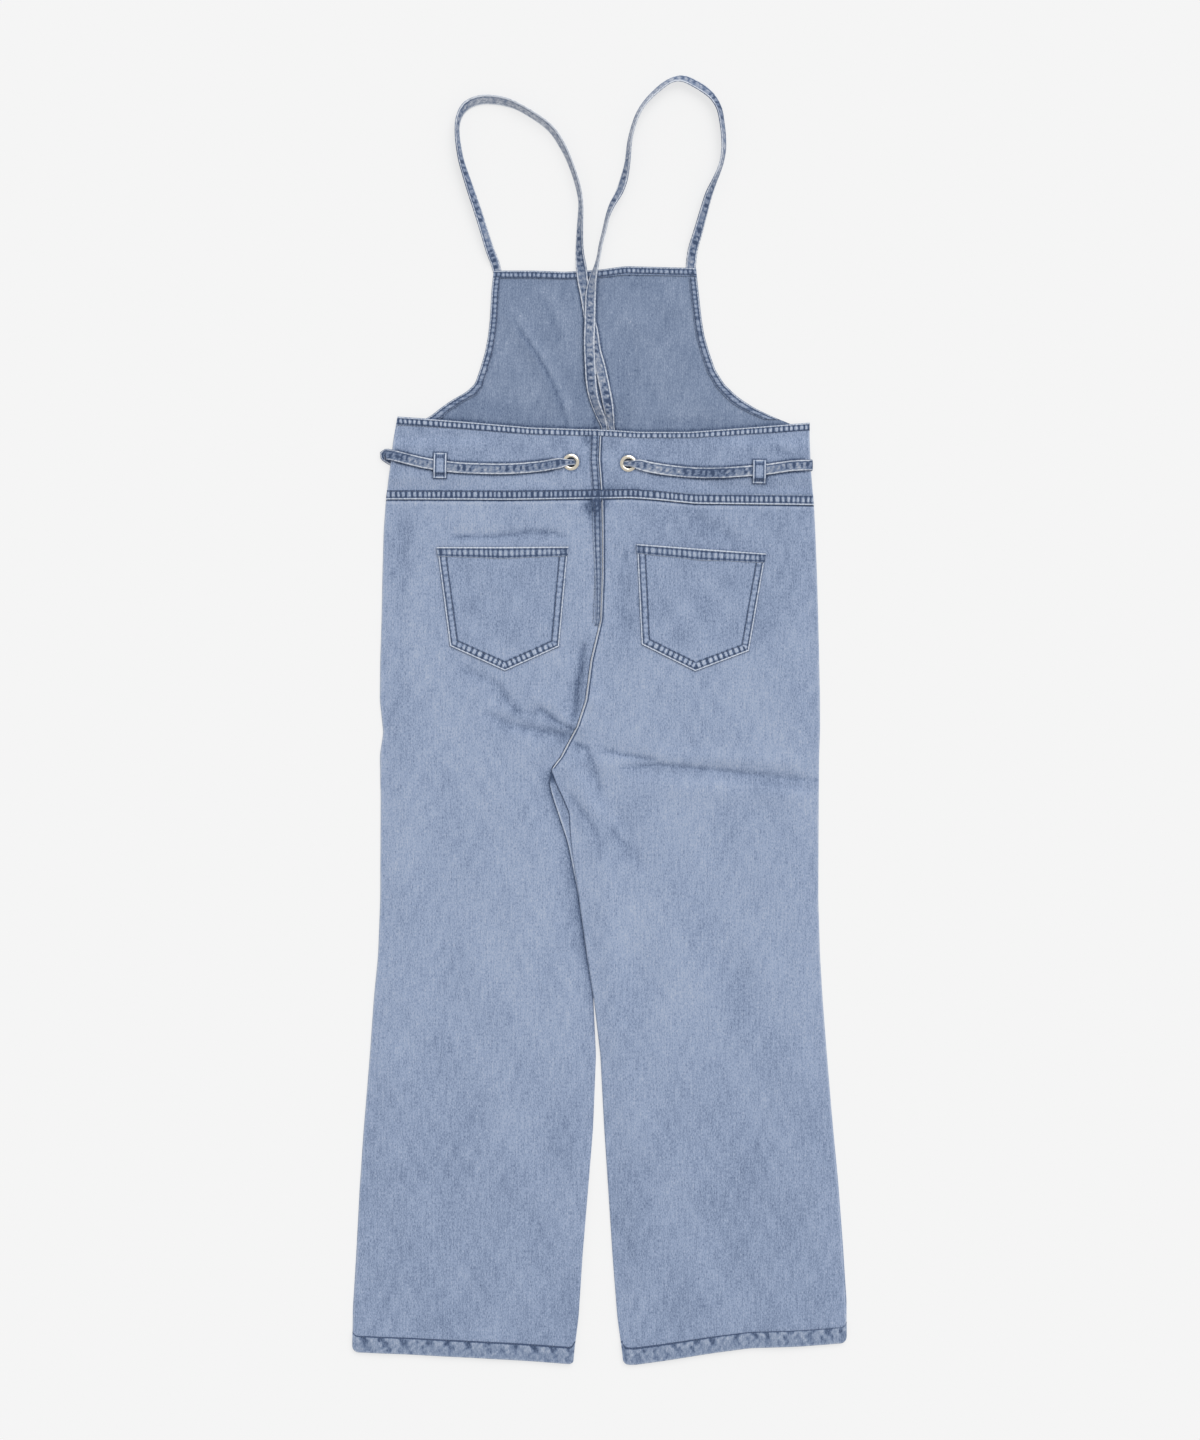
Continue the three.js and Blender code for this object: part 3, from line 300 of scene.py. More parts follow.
# Outer edges of the garment from the band's top to the leg hems
SIDES = rows(
    "y left right",
    (348, -230.5, 241.5),
    (321, -236.5, 241.5),
    (287, -241, 242.8),
    (252, -245.5, 246.5),
    (218, -248, 248),
    (166, -249.5, 250),
    (114, -250.5, 251.5),
    (68, -252, 252.5),
    (22, -252.5, 253.5),
    (-15, -248.5, 253.5),
    (-41, -252.5, 252.5),
    (-92, -251.5, 252),
    (-207, -252, 251.5),
    (-271, -254.5, 253.5),
    (-322, -259.5, 256.5),
    (-386, -264, 261.5),
    (-472, -271, 268.5),
    (-541, -275.5, 274.5),
    (-621, -279.5, 280),
    (-693, -283.5, 284),
    (-742, -284, 284),
)

# Centre seam down to the crotch, then the inner edges of the legs, where the right leg lies on the left one
INNER = rows(
    "y left right front",
    (348, 1, 1.3, 1.3),
    (299, -1, -0.7, -0.7),
    (252, 2.5, 2.8, 2.8),
    (218, 3, 3.3, 3.3),
    (166, 3, 3.3, 3.3),
    (114, 1, 1.3, 1.3),
    (68, -10, -9.6, -9.6),
    (22, -16, -15.6, -15.6),
    (-8, -26, -25.6, -25.6),
    (-43, -44.5, -44.1, -44.1),
    (-58, -56, -55.5, -55.5),
    (-75, -43, -50, -57),
    (-89, -35, -43, -53.5),
    (-107, -27, -35.5, -47.5),
    (-142, -16, -33, -36),
    (-207, -7.5, -23.5, -23),
    (-271, -7, -14.5, -14),
    (-322, -7, -6.5, -6),
    (-386, -4, 1, 1.5),
    (-472, -7.5, 5.5, 6),
    (-541, -13, 10, 10.5),
    (-621, -19.5, 15, 15.5),
    (-693, -24, 20.5, 21),
    (-742, -30, 27, 27.5),
)

# Top edge of the back band, and the waist seam under it
BAND_TOP = rows(
    "x y",
    (-230.5, 348), (-165, 343), (-77.5, 335.5), (1, 333),
    (46.5, 330.5), (104, 330.5), (184.5, 336.5), (241.5, 341),
)
WAIST = rows(
    "x y",
    (-245, 252.5), (-99.5, 252), (37.5, 254), (65.5, 252), (110, 247.5), (247, 246),
)

# Lower edges of the leg hems
HEM_LEFT = rows(
    "x y",
    (-284, -727), (-222, -729.5), (-165, -732.5), (-108, -735.5), (-69.5, -738), (-29, -741),
)
HEM_RIGHT = rows(
    "x y",
    (26.5, -741), (38.5, -742), (77, -736.5), (134, -727.5), (172.5, -722.5), (229.5, -720.5), (284, -716.5),
)

# Bib: sides with the armhole curve, then the hidden width down to the front waist seam
BIB = rows(
    "y left right",
    (517, -121.5, 111),
    (494, -124, 113.5),
    (459, -126, 117.5),
    (441, -128, 120.5),
    (422, -131.5, 126),
    (402, -137.5, 133),
    (386, -143, 143),
    (376, -153.5, 153),
    (368, -168.5, 162.5),
    (357, -184, 180),
    (348, -195, 199),
    (341, -210, 217),
    (334, -229, 231),
    (324, -234, 239),
    (280, -240, 241),
    (252, -243.5, 244.5),
)
BIB_TOP = rows(
    "x y",
    (-121.5, 516), (-80, 516), (-39.5, 514.5), (0, 517), (30, 521), (111, 519),
)

# Patch pockets: mouth from the outer corner in, then the sides and the point
POCKET_LEFT = {
    "top_left": (-187, 198.5), "top_right": (-35.5, 199),
    "low_left": (-172, 84), "low_right": (-46, 83.5), "point": (-108.5, 55.5),
}
POCKET_RIGHT = {
    "top_left": (42.5, 202), "top_right": (191.5, 191),
    "low_left": (48, 86), "low_right": (172, 78.5), "point": (110, 55),
}

# Largest folds of the back, as on the solids: soft bars, ridges positive and troughs negative
FOLDS = rows(
    "x1 y1 x2 y2 half height",
    (-149, 59, -112, 27, 12, -1.2),
    (-112, 27, -57, 5, 12, -1.5),
    (-67, 22, -24, -6, 10, 1.2),
    (-114, 0, -35, -24, 10, -1.6),
    (-135, 42, -80, 16, 12, 0.9),
    (-6, 100, -9, 20, 9, 1.2),
    (-26, 80, -30, 10, 10, -1.4),
    (-9, 20, -36, -45, 10, 1.2),
    (-24, -29, 2, -92, 9, -1.5),
    (-10, -52, 22, -50, 11, 1.1),
    (12, -37, 55, -45, 10, -1.3),
    (40, -58, 138, -60, 10, -1.5),
    (138, -60, 235, -69, 10, -1.5),
    (60, -41, 225, -50, 10, 1.0),
    (90, -80, 235, -88, 12, 0.9),
    (-5, -118, 12, -150, 10, -1.0),
    (24, -112, 50, -168, 12, -1.0),
    (-164, 211, -46, 213, 8, -0.9),
    (-226, 228, -228, 30, 12, -0.9),
    (115, 228, 158, 207, 12, -0.8),
    (28, 185, 29, 100, 12, -0.8),
    (-180, -140, -170, -520, 30, -0.8),
    (-90, -200, -110, -640, 32, 0.7),
    (150, -150, 165, -560, 30, -0.8),
    (75, -230, 95, -650, 30, 0.7),
)

# Narrower creases of the back, which only the cloth shows, and how dark the painted shade of their lines is
FINE_CREASES = rows(
    "x1 y1 x2 y2 half height dark",
    (-151, 55, -118, 41, 4.5, -0.5, 0.3),
    (-118, 41, -104, 19, 4.5, -0.7, 0.45),
    (-104, 19, -94, 9, 4, -0.7, 0.55),
    (-94, 9, -77, 7, 4, -0.6, 0.45),
    (-69, 12.6, -58, 4.4, 2.8, -0.8, 0.7),
    (-58, 4.4, -46, -4, 2.4, -1.0, 0.95),
    (-46, -4, -29, -12, 2.2, -1.0, 1.0),
    (-128, 6, -104, -6, 5, -0.6, 0.35),
    (-104, -6, -81, -10.5, 4.5, -0.7, 0.45),
    (-81, -10.5, -35, -18, 4, -0.8, 0.5),
    (-18, 86, -20, 62, 2.2, -0.7, 0.55),
    (-20, 62, -24, 45, 2, -1.0, 0.8),
    (-24, 45, -27.5, 26, 2.4, -1.0, 0.85),
    (-27.5, 26, -29, 4, 3.2, -0.8, 0.65),
    (-26.5, -28.5, -14, -32.6, 2.2, -0.8, 0.8),
    (-14, -32.6, -9, -48, 2.8, -0.9, 0.6),
    (-9, -48, -4, -61, 3, -0.8, 0.6),
    (-4, -61, 0, -78, 4.5, -0.6, 0.35),
    (-38, -83, -32, -89, 3, -0.5, 0.4),
    (-32, -89, -18, -108, 3.4, -0.7, 0.6),
    (-18, -108, -6.5, -126, 4, -0.7, 0.55),
    (-6.5, -126, 1, -147, 4.5, -0.5, 0.4),
    (12, -124, 24, -139, 2.6, -0.5, 0.45),
    (24, -139, 35, -147, 3, -0.5, 0.4),
    (35, -147, 47, -165, 4, -0.4, 0.3),
    (3.4, -151, -2.3, -163, 2, -0.5, 0.5),
    (6, -35, 26, -40, 2.2, -0.7, 0.5),
    (26, -40, 44, -42.6, 1.8, -0.9, 0.75),
    (44, -42.6, 61, -46, 2, -0.8, 0.7),
    (26, -55, 47, -53.5, 3, -0.6, 0.45),
    (47, -53.5, 69, -51.6, 2.2, -0.8, 0.6),
    (69, -51.6, 93, -53.8, 2, -0.9, 0.65),
    (93, -53.8, 137, -58.5, 2.1, -0.9, 0.6),
    (137, -58.5, 190, -64, 2.4, -0.9, 0.5),
    (190, -64, 252, -71, 3.4, -0.8, 0.45),
    (190, -72, 252, -80, 6, -0.5, 0.3),
    (-166, 209.5, -120, 210.3, 2.4, -0.6, 0.75),
    (-120, 210.3, -79, 215.6, 2.6, -0.6, 0.6),
    (-79, 215.6, -52, 214.5, 2.6, -0.5, 0.6),
    (-52, 214.5, -44, 209.5, 2.8, -0.4, 0.4),
    (116, 229, 156, 206, 6, -0.4, 0.2),
    (30, 184, 29, 104, 6, -0.4, 0.15),
    (-224, 220, -232, 60, 7, -0.4, 0.15),
    (-224, 40, -242, -4, 4, -0.4, 0.3),
    (-60, 60, -40, 40, 6, -0.3, 0.15),
    (198, 314, 222, 302, 4, -0.3, 0.3),
)

# Creases in the bib: as on the solid, then the narrow ones, with how dark their painted shade is
BIB_CREASES = rows(
    "x1 y1 x2 y2 half height",
    (-103, 464, -73, 420, 9, 0.9),
    (-73, 420, -44, 361, 9, 1.0),
    (-60, 482, -47, 437, 12, 0.5),
    (46, 452, 47, 376, 12, 0.6),
    (-150, 358, -105, 352, 10, 0.5),
)
BIB_FINE_CREASES = rows(
    "x1 y1 x2 y2 half height dark",
    (-103, 466, -91, 447, 2.4, -0.5, 0.35),
    (-91, 447, -73, 421, 2.2, -0.8, 0.75),
    (-73, 421, -56, 391, 2.2, -0.9, 0.95),
    (-56, 391, -44.5, 362, 2.4, -0.8, 0.95),
    (-44.5, 362, -37.5, 339, 2.6, -0.6, 0.8),
    (-63, 483, -46, 438, 4, -0.4, 0.4),
    (40, 450, 41, 380, 5, -0.35, 0.2),
    (52, 452, 54, 378, 5, -0.3, 0.15),
    (-148, 366, -104, 352, 8, -0.5, 0.3),
    (-160, 366, -96, 352, 10, -0.3, 0.45),
    (-20, 395, -24, 345, 7, -0.3, 0.3),
    (26, 400, 34, 345, 8, -0.3, 0.25),
    (60, 343, 130, 341, 5, -0.4, 0.3),
    (-110, 505, -60, 500, 7, -0.3, 0.2),
    (30, 498, 70, 500, 8, -0.3, 0.2),
)

# Where the dye is still dark, on the back and on the bib
DARK_PATCHES = rows(
    "x y half_x half_y dark",
    (-4, 252, 13, 10, 0.85),
    (-8, 241, 10, 9, 0.8),
    (8, 262, 12, 8, 0.45),
    (-14, 322, 6, 7, 0.5),
    (-6, 226, 6, 10, 0.2),
    (88, 322, 40, 5, 0.15),
    (70, 305, 16, 7, 0.2),
    (36, 262, 26, 6, 0.3),
    (-60, 262, 40, 5, 0.15),
)

# The left shoulder strap: place, what it rests on, and how far it leans
LEFT_STRAP_SHOWN = rows(
    "x y rest lean width tone",
    (-117.2, 513.5, 0.1, 0, 9.4, 0),
    (-118.3, 518, 0, 0, 10, 0),
    (-120.5, 526, 0, 10, 10.4, 0),
    (-125, 537, 0, 25, 11.2, -0.2),
    (-132, 559, 0, 40, 12, 0),
    (-140.3, 585.5, 0, 45, STRAP_WIDTH, -0.25),
    (-147.5, 606.5, 0, 48, STRAP_WIDTH, -0.5),
    (-153.7, 625.5, 0, 54, STRAP_WIDTH, -0.5),
    (-159.5, 645, 0, 62, STRAP_WIDTH, -0.4),
    (-163.5, 677.5, 0, 70, STRAP_WIDTH, 0.2),
    (-161, 693, 0, 65, STRAP_WIDTH, 0.4),
    (-153, 705, 0, 46, STRAP_WIDTH, 0.4),
    (-138, 711.5, 0, 40, STRAP_WIDTH, 0.9),
    (-122, 711.8, 0, 42, STRAP_WIDTH, 1.05),
    (-107, 709, 0, 48, STRAP_WIDTH, 0.8),
    (-92, 703, 0, 60, STRAP_WIDTH, 1.1),
    (-57.5, 680, 0, 58, STRAP_WIDTH, 1.1),
    (-43.8, 661, 0, 58, STRAP_WIDTH, 0.9),
    (-33.8, 640, 0, 66, STRAP_WIDTH, 0.8),
    (-24.5, 611.5, 0, 67, STRAP_WIDTH, 0.7),
    (-21.6, 594, 0, 68, STRAP_WIDTH, 0.8),
    (-22.5, 565, 0, 58, STRAP_WIDTH, 0.1),
    (-23, 542, 0, 48, STRAP_WIDTH, -0.1),
    (-22.3, 530, 1.2, 36, STRAP_WIDTH, -0.1),
    (-21, 520, ON_HEM, 15, STRAP_WIDTH, 0),
    (-19.6, 507.5, ON_HEM, 0, STRAP_WIDTH, 0),
    (-18.7, 501, ON_BIB + 0.3, 0, STRAP_WIDTH, 0),
    (-17.3, 495, ON_BIB, 0, STRAP_WIDTH, 0),
    (-15, 482.5, ON_BIB, 0, STRAP_WIDTH, 0),
    (-11.5, 461.5, ON_BIB, 0, STRAP_WIDTH, 0),
    (-7.5, 445, ON_BIB, 0, STRAP_WIDTH, 0.1),
    (-4.5, 424, ON_BIB, 0, STRAP_WIDTH, 0.2),
    (0.5, 406.5, ON_BIB, 0, STRAP_WIDTH, 0.2),
    (5.4, 384, ON_BIB, 0, STRAP_WIDTH, 0.2),
    (9.2, 365.5, ON_BIB, 0, STRAP_WIDTH, -0.1),
    (11.8, 349, ON_BIB, 40, STRAP_WIDTH, 0.2),
)
LEFT_STRAP_BEHIND = rows(
    "x y width",
    (13.6, 336, 7),
    (15.5, 322, 7.5),
    (16, 311, 7.5),
    (16, 302, 6.6),
)

# The right shoulder strap, which lies over the left one where they cross
RIGHT_STRAP_SHOWN = rows(
    "x y rest lean width tone",
    (104.4, 515.5, 0.1, 0, 11, 0),
    (105, 520.9, 0, 0, 11.5, 0),
    (107, 538.5, 0, 20, 12, -0.2),
    (113, 559.5, 0, 35, STRAP_WIDTH, -0.4),
    (119.5, 582.5, 0, 43, STRAP_WIDTH, -0.2),
    (125.7, 603.5, 0, 50, STRAP_WIDTH, -0.4),
    (132.5, 619.5, 0, 66, STRAP_WIDTH, 0.2),
    (139, 635.5, 0, 71, STRAP_WIDTH, 0.8),
    (142.6, 653, 0, 66, STRAP_WIDTH, 0.5),
    (142.5, 670.5, 0, 64, STRAP_WIDTH, 0.1),
    (140.4, 688, 0, 62, STRAP_WIDTH, -0.15),
    (137.6, 701.6, 0, 58, STRAP_WIDTH, -0.5),
    (130.2, 714.8, 0, 50, STRAP_WIDTH, -0.2),
    (120, 724, 0, 40, STRAP_WIDTH, -0.1),
    (108, 731.2, 0, 40, STRAP_WIDTH, 0.1),
    (95.5, 736.3, 0, 45, STRAP_WIDTH, 0.4),
    (83.5, 734.5, 0, 58, STRAP_WIDTH, 0.6),
    (70.2, 726, 0, 56, STRAP_WIDTH, 0.6),
    (47.8, 702, 0, 66, STRAP_WIDTH, 0.9),
    (36, 670.5, 0, 69, STRAP_WIDTH, 0.75),
    (32, 639, 0, 61, STRAP_WIDTH, 0.35),
    (27.9, 620, 0, 45, STRAP_WIDTH, 0),
    (22.8, 605.5, 0, 48, STRAP_WIDTH, 0),
    (14.5, 591, 0, 56, STRAP_WIDTH, 0.2),
    (9.3, 577.4, 0, 69, STRAP_WIDTH, 0.65),
    (5.2, 560, 0, 70, STRAP_WIDTH, 0.9),
    (1.3, 545, 0, 73, STRAP_WIDTH, 0.9),
    (-0.7, 533, 0.8, 70, 10, 0.9),
    (-3, 523, ON_HEM, 62, 9, 0.8),
    (-7.1, 507, ON_STRAP, 42, 11.5, 0.3),
    (-9.8, 490.5, ON_STRAP, 15, STRAP_WIDTH, 0.1),
    (-10.8, 462, ON_STRAP, 0, STRAP_WIDTH, 0.2),
    (-11.7, 431, ON_STRAP, 0, STRAP_WIDTH, 0.1),
    (-10.8, 408.5, ON_STRAP, 0, STRAP_WIDTH, 0),
    (-10.2, 397, ON_STRAP, 0, STRAP_WIDTH, 0),
    (-9.2, 384, ON_BIB, 12, STRAP_WIDTH, 0),
    (-6, 367.5, ON_BIB, 35, STRAP_WIDTH, 0),
    (0.2, 351, ON_BIB, 42, STRAP_WIDTH, 0.1),
)
RIGHT_STRAP_BEHIND = rows(
    "x y width",
    (5.8, 336, 7),
    (4.5, 325, 7.5),
    (-2, 314, 8),
    (-10, 303, 7.5),
)

# How a strap goes up through its eyelet: distance along, height over the band's middle, and width there
THROUGH_EYELET = rows(
    "along rise width",
    (-9.5, -3.0, 7), (-5.6, -2.8, 6.4), (0, 0, 6.4),
    (5.6, 2.8, 6.6), (8.2, 3.0, 10.5), (11.5, 2.9, STRAP_WIDTH),
)

# The waist ties on the band, from each eyelet to the fold round the side seam, then the end underneath
TIE_LEFT_SHOWN = rows(
    "x y tone",
    (-52, 293.3, -0.6),
    (-66.5, 290.8, -0.3),
    (-99.5, 288, 0),
    (-132.5, 287.8, -0.1),
    (-165.5, 289.3, 0),
    (-183, 291.5, 0.1),
    (-200.5, 294.3, 0.2),
    (-220.5, 299, -0.2),
    (-234.5, 302.7, -0.8),
)
TIE_LEFT_FOLD = rows(
    "x y z",
    (-243, 304.4, 6.4), (-246.6, 304.9, 5.3), (-247.6, 304.6, 3.6), (-246.6, 303.2, 2), (-243, 300.6, 0.9),
    (-234, 296, 0.9), (-215, 291, 0.9), (-178, 289, 0.9),
)
TIE_RIGHT_SHOWN = rows(
    "x y tone",
    (55, 290.2, 0.3),
    (76.5, 286.6, 0.3),
    (109.5, 283.4, -0.9),
    (142.5, 283.3, -0.9),
    (171, 285.2, 0.3),
    (183.5, 286, 0.2),
    (197, 287.7, 0.1),
    (219.5, 291, 0),
    (236, 292, 0),
)
TIE_FOLD_TONE = -0.8
TIE_RIGHT_FOLD = rows(
    "x y z",
    (242.4, 292.1, 6.5),
    (245, 292.2, 5.4),
    (245.9, 292.2, 3.6),
    (245, 292.1, 2),
    (242.4, 291.8, 0.9),
    (236, 291, 0.9),
    (178, 289, 0.9),
)

# Section of an eyelet, from its middle line out, and the rings of one stitch
EYELET_PROFILE = rows(
    "r z",
    (5.7, -1.1), (5.6, -0.6), (5.6, 0.6), (5.75, 1.15), (6.2, 1.55), (6.9, 1.75), (7.7, 1.7), (8.5, 1.5),
    (9.15, 1.2), (9.5, 0.9), (9.35, 0.75), (8.4, 0.85), (6.4, 0.85), (6.3, 0.0), (6.4, -0.85), (8.9, -0.9),
    (9.0, -1.2), (8.4, -1.6), (6.3, -1.6),
)
EYELET_STEPS = 72
STITCH_RINGS = rows(
    "share size rise",
    (0.0, 0.45, -0.3), (0.22, 1.0, 0.12), (0.78, 1.0, 0.12), (1.0, 0.45, -0.3),
)


def lerp(a, b, share):
    return a + (b - a) * share


def smooth(share):
    t = np.clip(share, 0, 1)
    return t * t * (3 - 2 * t)


def bump(distance, half):
    return np.exp(-((distance / half) ** 2))


def rounded(distance, radius):
    """How far a rounded edge has dropped at a distance inside it."""
    t = 1 - np.clip(distance / radius, 0, 1)
    return radius * (1 - np.sqrt(1 - t * t))


def steepness(edge, y):
    """Length of an edge for each step down it."""
    return np.sqrt(1 + ((edge(y + 1) - edge(y - 1)) / 2) ** 2)


def nothing(x, y):
    return np.zeros(np.broadcast(x, y).shape)


def each(table, names):
    """The rows of a table, as the values of its named columns."""
    return zip(*(table[name] for name in names.split()))


def column(table, key, value, window=16):
    """A function through one column of a table, with its corners rounded off over a window."""
    order = np.argsort(table[key])
    keys, values = table[key][order], table[value][order]
    at = np.arange(keys[0], keys[-1] + 0.5)
    plain = np.interp(at, keys, values)
    half = window // 2
    before = 2 * plain[0] - plain[half:0:-1]
    after = 2 * plain[-1] - plain[-2:-half - 2:-1]
    weights = np.hanning(2 * half + 3)[1:-1]
    soft = np.convolve(np.concatenate([before, plain, after]), weights / weights.sum(), "valid")
    return lambda place: np.interp(place, at, soft)


def hem_curve(table):
    """The lower edge of a leg, with its two corners rounded off."""
    plain = column(table, "x", "y")
    first, last = table["x"][0], table["x"][-1]
    return lambda x: plain(x) + rounded(np.minimum(x - first, last - x), HEM_CORNER)


left_side = column(SIDES, "y", "left")
right_side = column(SIDES, "y", "right")
left_inner = column(INNER, "y", "left", 6)
right_inner = column(INNER, "y", "right", 6)
right_front_inner = column(INNER, "y", "front", 6)
band_top = column(BAND_TOP, "x", "y")
waist = column(WAIST, "x", "y")
left_hem = hem_curve(HEM_LEFT)
right_hem = hem_curve(HEM_RIGHT)
bib_left = column(BIB, "y", "left", 10)
bib_right = column(BIB, "y", "right", 10)
bib_top = column(BIB_TOP, "x", "y")


def from_line(x, y, x1, y1, x2, y2):
    """Distance of each place from a straight line between two points."""
    dx, dy = x2 - x1, y2 - y1
    near = np.clip(((x - x1) * dx + (y - y1) * dy) / (dx * dx + dy * dy), 0, 1)
    return np.hypot(x - x1 - near * dx, y - y1 - near * dy)


def bars(folds, x, y):
    """The height that each soft bar of a table adds, one bar after the other."""
    for *ends, half, height in each(folds, "x1 y1 x2 y2 half height"):
        yield height * bump(from_line(x, y, *ends), half)


def fold_height(folds, x, y):
    """Height that a table of soft bars adds at each place."""
    return sum(bars(folds, x, y))


def crease_depth(folds, x, y):
    """Depth of a table of narrow creases, which run on into each other."""
    total = nothing(x, y)
    for height in bars(folds, x, y):
        total = np.minimum(total, height)
    return total


def crease_shade_and_highlight(folds, x, y):
    """Painted shade as soft dark lines in a table of creases, each with a painted highlight on a pale side
    above or to the right of it.
    """
    core, halo, pale = nothing(x, y), nothing(x, y), nothing(x, y)
    for x1, y1, x2, y2, half, dark in each(folds, "x1 y1 x2 y2 half dark"):
        dx, dy = x2 - x1, y2 - y1
        away = from_line(x, y, x1, y1, x2, y2)
        side = ((x - x1) * dy - (y - y1) * dx) / math.hypot(dx, dy)
        side = side if dy > dx else -side
        within = bump(np.maximum(away - np.abs(side), 0), 1.5 * half)
        core = np.minimum(core, -dark * bump(away, 0.85 * half))
        halo = np.minimum(halo, -dark * bump(np.hypot(away, 0.5 * side + 0.9 * half), 3 * half))
        pale = np.maximum(pale, dark * bump(side - 2.6 * half, 1.4 * half) * within)
    uneven = 0.9 + 0.12 * waves(x, y, 40, 30, 37)
    return (CREASE_SHADE_LINE * core + CREASE_SHADE_HALO * halo) * uneven + CREASE_HIGHLIGHT * pale


def patches(x, y):
    """Where the dye is still dark, as a tone."""
    total = nothing(x, y)
    for px, py, half_x, half_y, dark in each(DARK_PATCHES, "x y half_x half_y dark"):
        total -= dark * bump(np.hypot((x - px) / half_x, (y - py) / half_y), 1)
    return total * (0.85 + 0.3 * waves(x, y, 9, 14, 35))


def waves(x, y, across, along, seed, count=9):
    """Soft uneven swells about 1 high, with rough lengths across and along."""
    chance = np.random.default_rng(seed)
    total = nothing(x, y)
    for _ in range(count):
        kx = 2 * np.pi / (across * chance.uniform(0.6, 1.8)) * chance.choice([-1, 1])
        ky = 2 * np.pi / (along * chance.uniform(0.6, 1.8))
        total += np.sin(kx * x + ky * y + chance.uniform(0, 2 * np.pi))
    return total / math.sqrt(count)


def ripple(along, period, seed):
    """An uneven pucker between -1 and 1 along a seam."""
    chance = np.random.default_rng(seed)
    phase = 2 * np.pi * along / period
    for stretch, share in ((2.7, 0.3), (6.1, 0.7), (13.0, 1.2)):
        phase = phase + share * np.sin(2 * np.pi * along / (period * stretch) + chance.uniform(0, 6))
    strength = 0.78 + 0.22 * np.sin(2 * np.pi * along / (period * 3.7) + chance.uniform(0, 6))
    return np.sin(phase) * strength


def swell(x, y, inner):
    """How far the back stands up over the front, less towards its edges and the leg hems."""
    side = np.minimum(x - left_side(y), right_side(y) - x)
    inner_share = lerp(1, smooth(inner / PUFF_REACH), smooth(y / CROTCH_Y))
    hem_share = lerp(HEM_FLAT_SHARE, 1, smooth((y - HEM_Y) / HEM_FLAT_REACH))
    return (PUFF + fold_height(FOLDS, x, y)) * smooth(side / PUFF_REACH) * inner_share * hem_share


def tail_lift(x, y):
    room = TAIL_ROOM
    across = smooth((np.abs(x) - room["from_x"]) / room["ramp"])
    low = smooth((y - room["low_y"]) / room["low_ramp"])
    high = smooth((room["high_y"] - y) / room["high_ramp"])
    return TAIL_LIFT * across * low * high


def strap_hump(x, y):
    room = STRAP_ROOM
    across = 1 - smooth((np.abs(x - room["x"]) - room["half"]) / room["ramp"])
    return room["height"] * across * smooth((y - room["from_y"]) / room["ramp_y"])


def legs_cross_lift(x, y, lift):
    sideways = 1 - smooth((x - left_inner(y) - lift["flat"]) / lift["ramp"])
    upward = 1 - smooth((y - CROTCH_Y) / lift["up"])
    downward = 1 - smooth((LIFT_END_Y - y) / lift["down"])
    return LEGS_CROSS_LIFT * sideways * upward * downward


def plateau(x, y):
    """1 on the level place round each eyelet, 0 away from it."""
    total = nothing(x, y)
    for ex, ey in (EYELET_LEFT, EYELET_RIGHT):
        total = np.maximum(total, 1 - smooth((np.hypot(x - ex, y - ey) - PLATEAU) / PLATEAU_RAMP))
    return total


def back(x, y, inner):
    """Underside of the back, as on the solids."""
    plain = BACK_BASE + swell(x, y, inner) + tail_lift(x, y) + strap_hump(x, y)
    return lerp(plain, EYELET_BASE, plateau(x, y))


def seam_puckers(x, y):
    """Small puckers that run from the seams into the panels."""
    from_waist = waist(x) - y
    below = 0.45 * ripple(x, 11, 3) * np.exp(-np.maximum(from_waist, 0) / 16) * (from_waist > 0)
    above = 0.3 * ripple(x, 9, 4) * np.exp(-np.maximum(-from_waist, 0) / 12) * (from_waist <= 0)
    from_seam = np.abs(x - left_inner(y))
    beside = 0.35 * ripple(y, 10, 5) * np.exp(-from_seam / 9) * smooth((y + 40) / 60)
    return below + above + beside


def fine_relief(x, y):
    """Swells, creases and puckers that only the cloth shows, faded out at the edges and round the eyelets."""
    side = np.minimum(x - left_side(y), right_side(y) - x)
    low = smooth((CROTCH_Y - y) / 200)
    swells = 0.22 * waves(x, y, 70, 90, 11) + 0.3 * low * waves(x, y, 75, 420, 12)
    total = swells + crease_depth(FINE_CREASES, x, y) + seam_puckers(x, y)
    return total * smooth(side / 14 + 0.1) * (1 - plateau(x, y))


def left_top(x, y):
    """Upper surface of the left back leg and band."""
    return back(x, y, right_front_inner(y) - PUFF_MARGIN - x) + WALL + fine_relief(x, y)


def right_top(x, y):
    """Upper surface of the right back leg and band."""
    lift = legs_cross_lift(x, y, BACK_LIFT)
    return back(x, y, x - right_inner(y)) + lift + WALL + fine_relief(x, y)


def bib_inside(x, y):
    """Upper surface of the bib, which shows its inside."""
    swells = 0.25 * waves(x, y, 60, 80, 21)
    creases = fold_height(BIB_CREASES, x, y) + crease_depth(BIB_FINE_CREASES, x, y)
    return tail_lift(x, y) + np.maximum(FRONT_TOP + 0.25 + creases + swells, 1.0)


def level_edge(y):
    """A straight edge across the garment."""
    return lambda x: np.full(np.shape(x), y)


# Panels as their edge curves
BACK_LEFT = {
    "high": WAIST_Y, "low": HEM_Y, "bottom_reach": HEM_REACH, "left": left_side, "right": left_inner,
    "top": lambda x: waist(x) - GAP / 2, "bottom": left_hem,
}
BACK_RIGHT = {**BACK_LEFT, "left": right_inner, "right": right_side, "bottom": right_hem}
FRONT_LEFT = {
    **BACK_LEFT, "high": FRONT_WAIST_Y, "left": lambda y: left_side(y) + FRONT_INSET,
    "top": level_edge(FRONT_WAIST_Y - GAP / 2),
}
FRONT_RIGHT = {
    **FRONT_LEFT, "left": right_front_inner, "right": lambda y: right_side(y) - FRONT_INSET,
    "bottom": right_hem,
}
BAND_LEFT = {
    "high": BAND_TOP_Y, "low": WAIST_Y, "bottom_reach": TOP_REACH, "left": left_side, "right": left_inner,
    "top": band_top, "bottom": lambda x: waist(x) + GAP / 2,
}
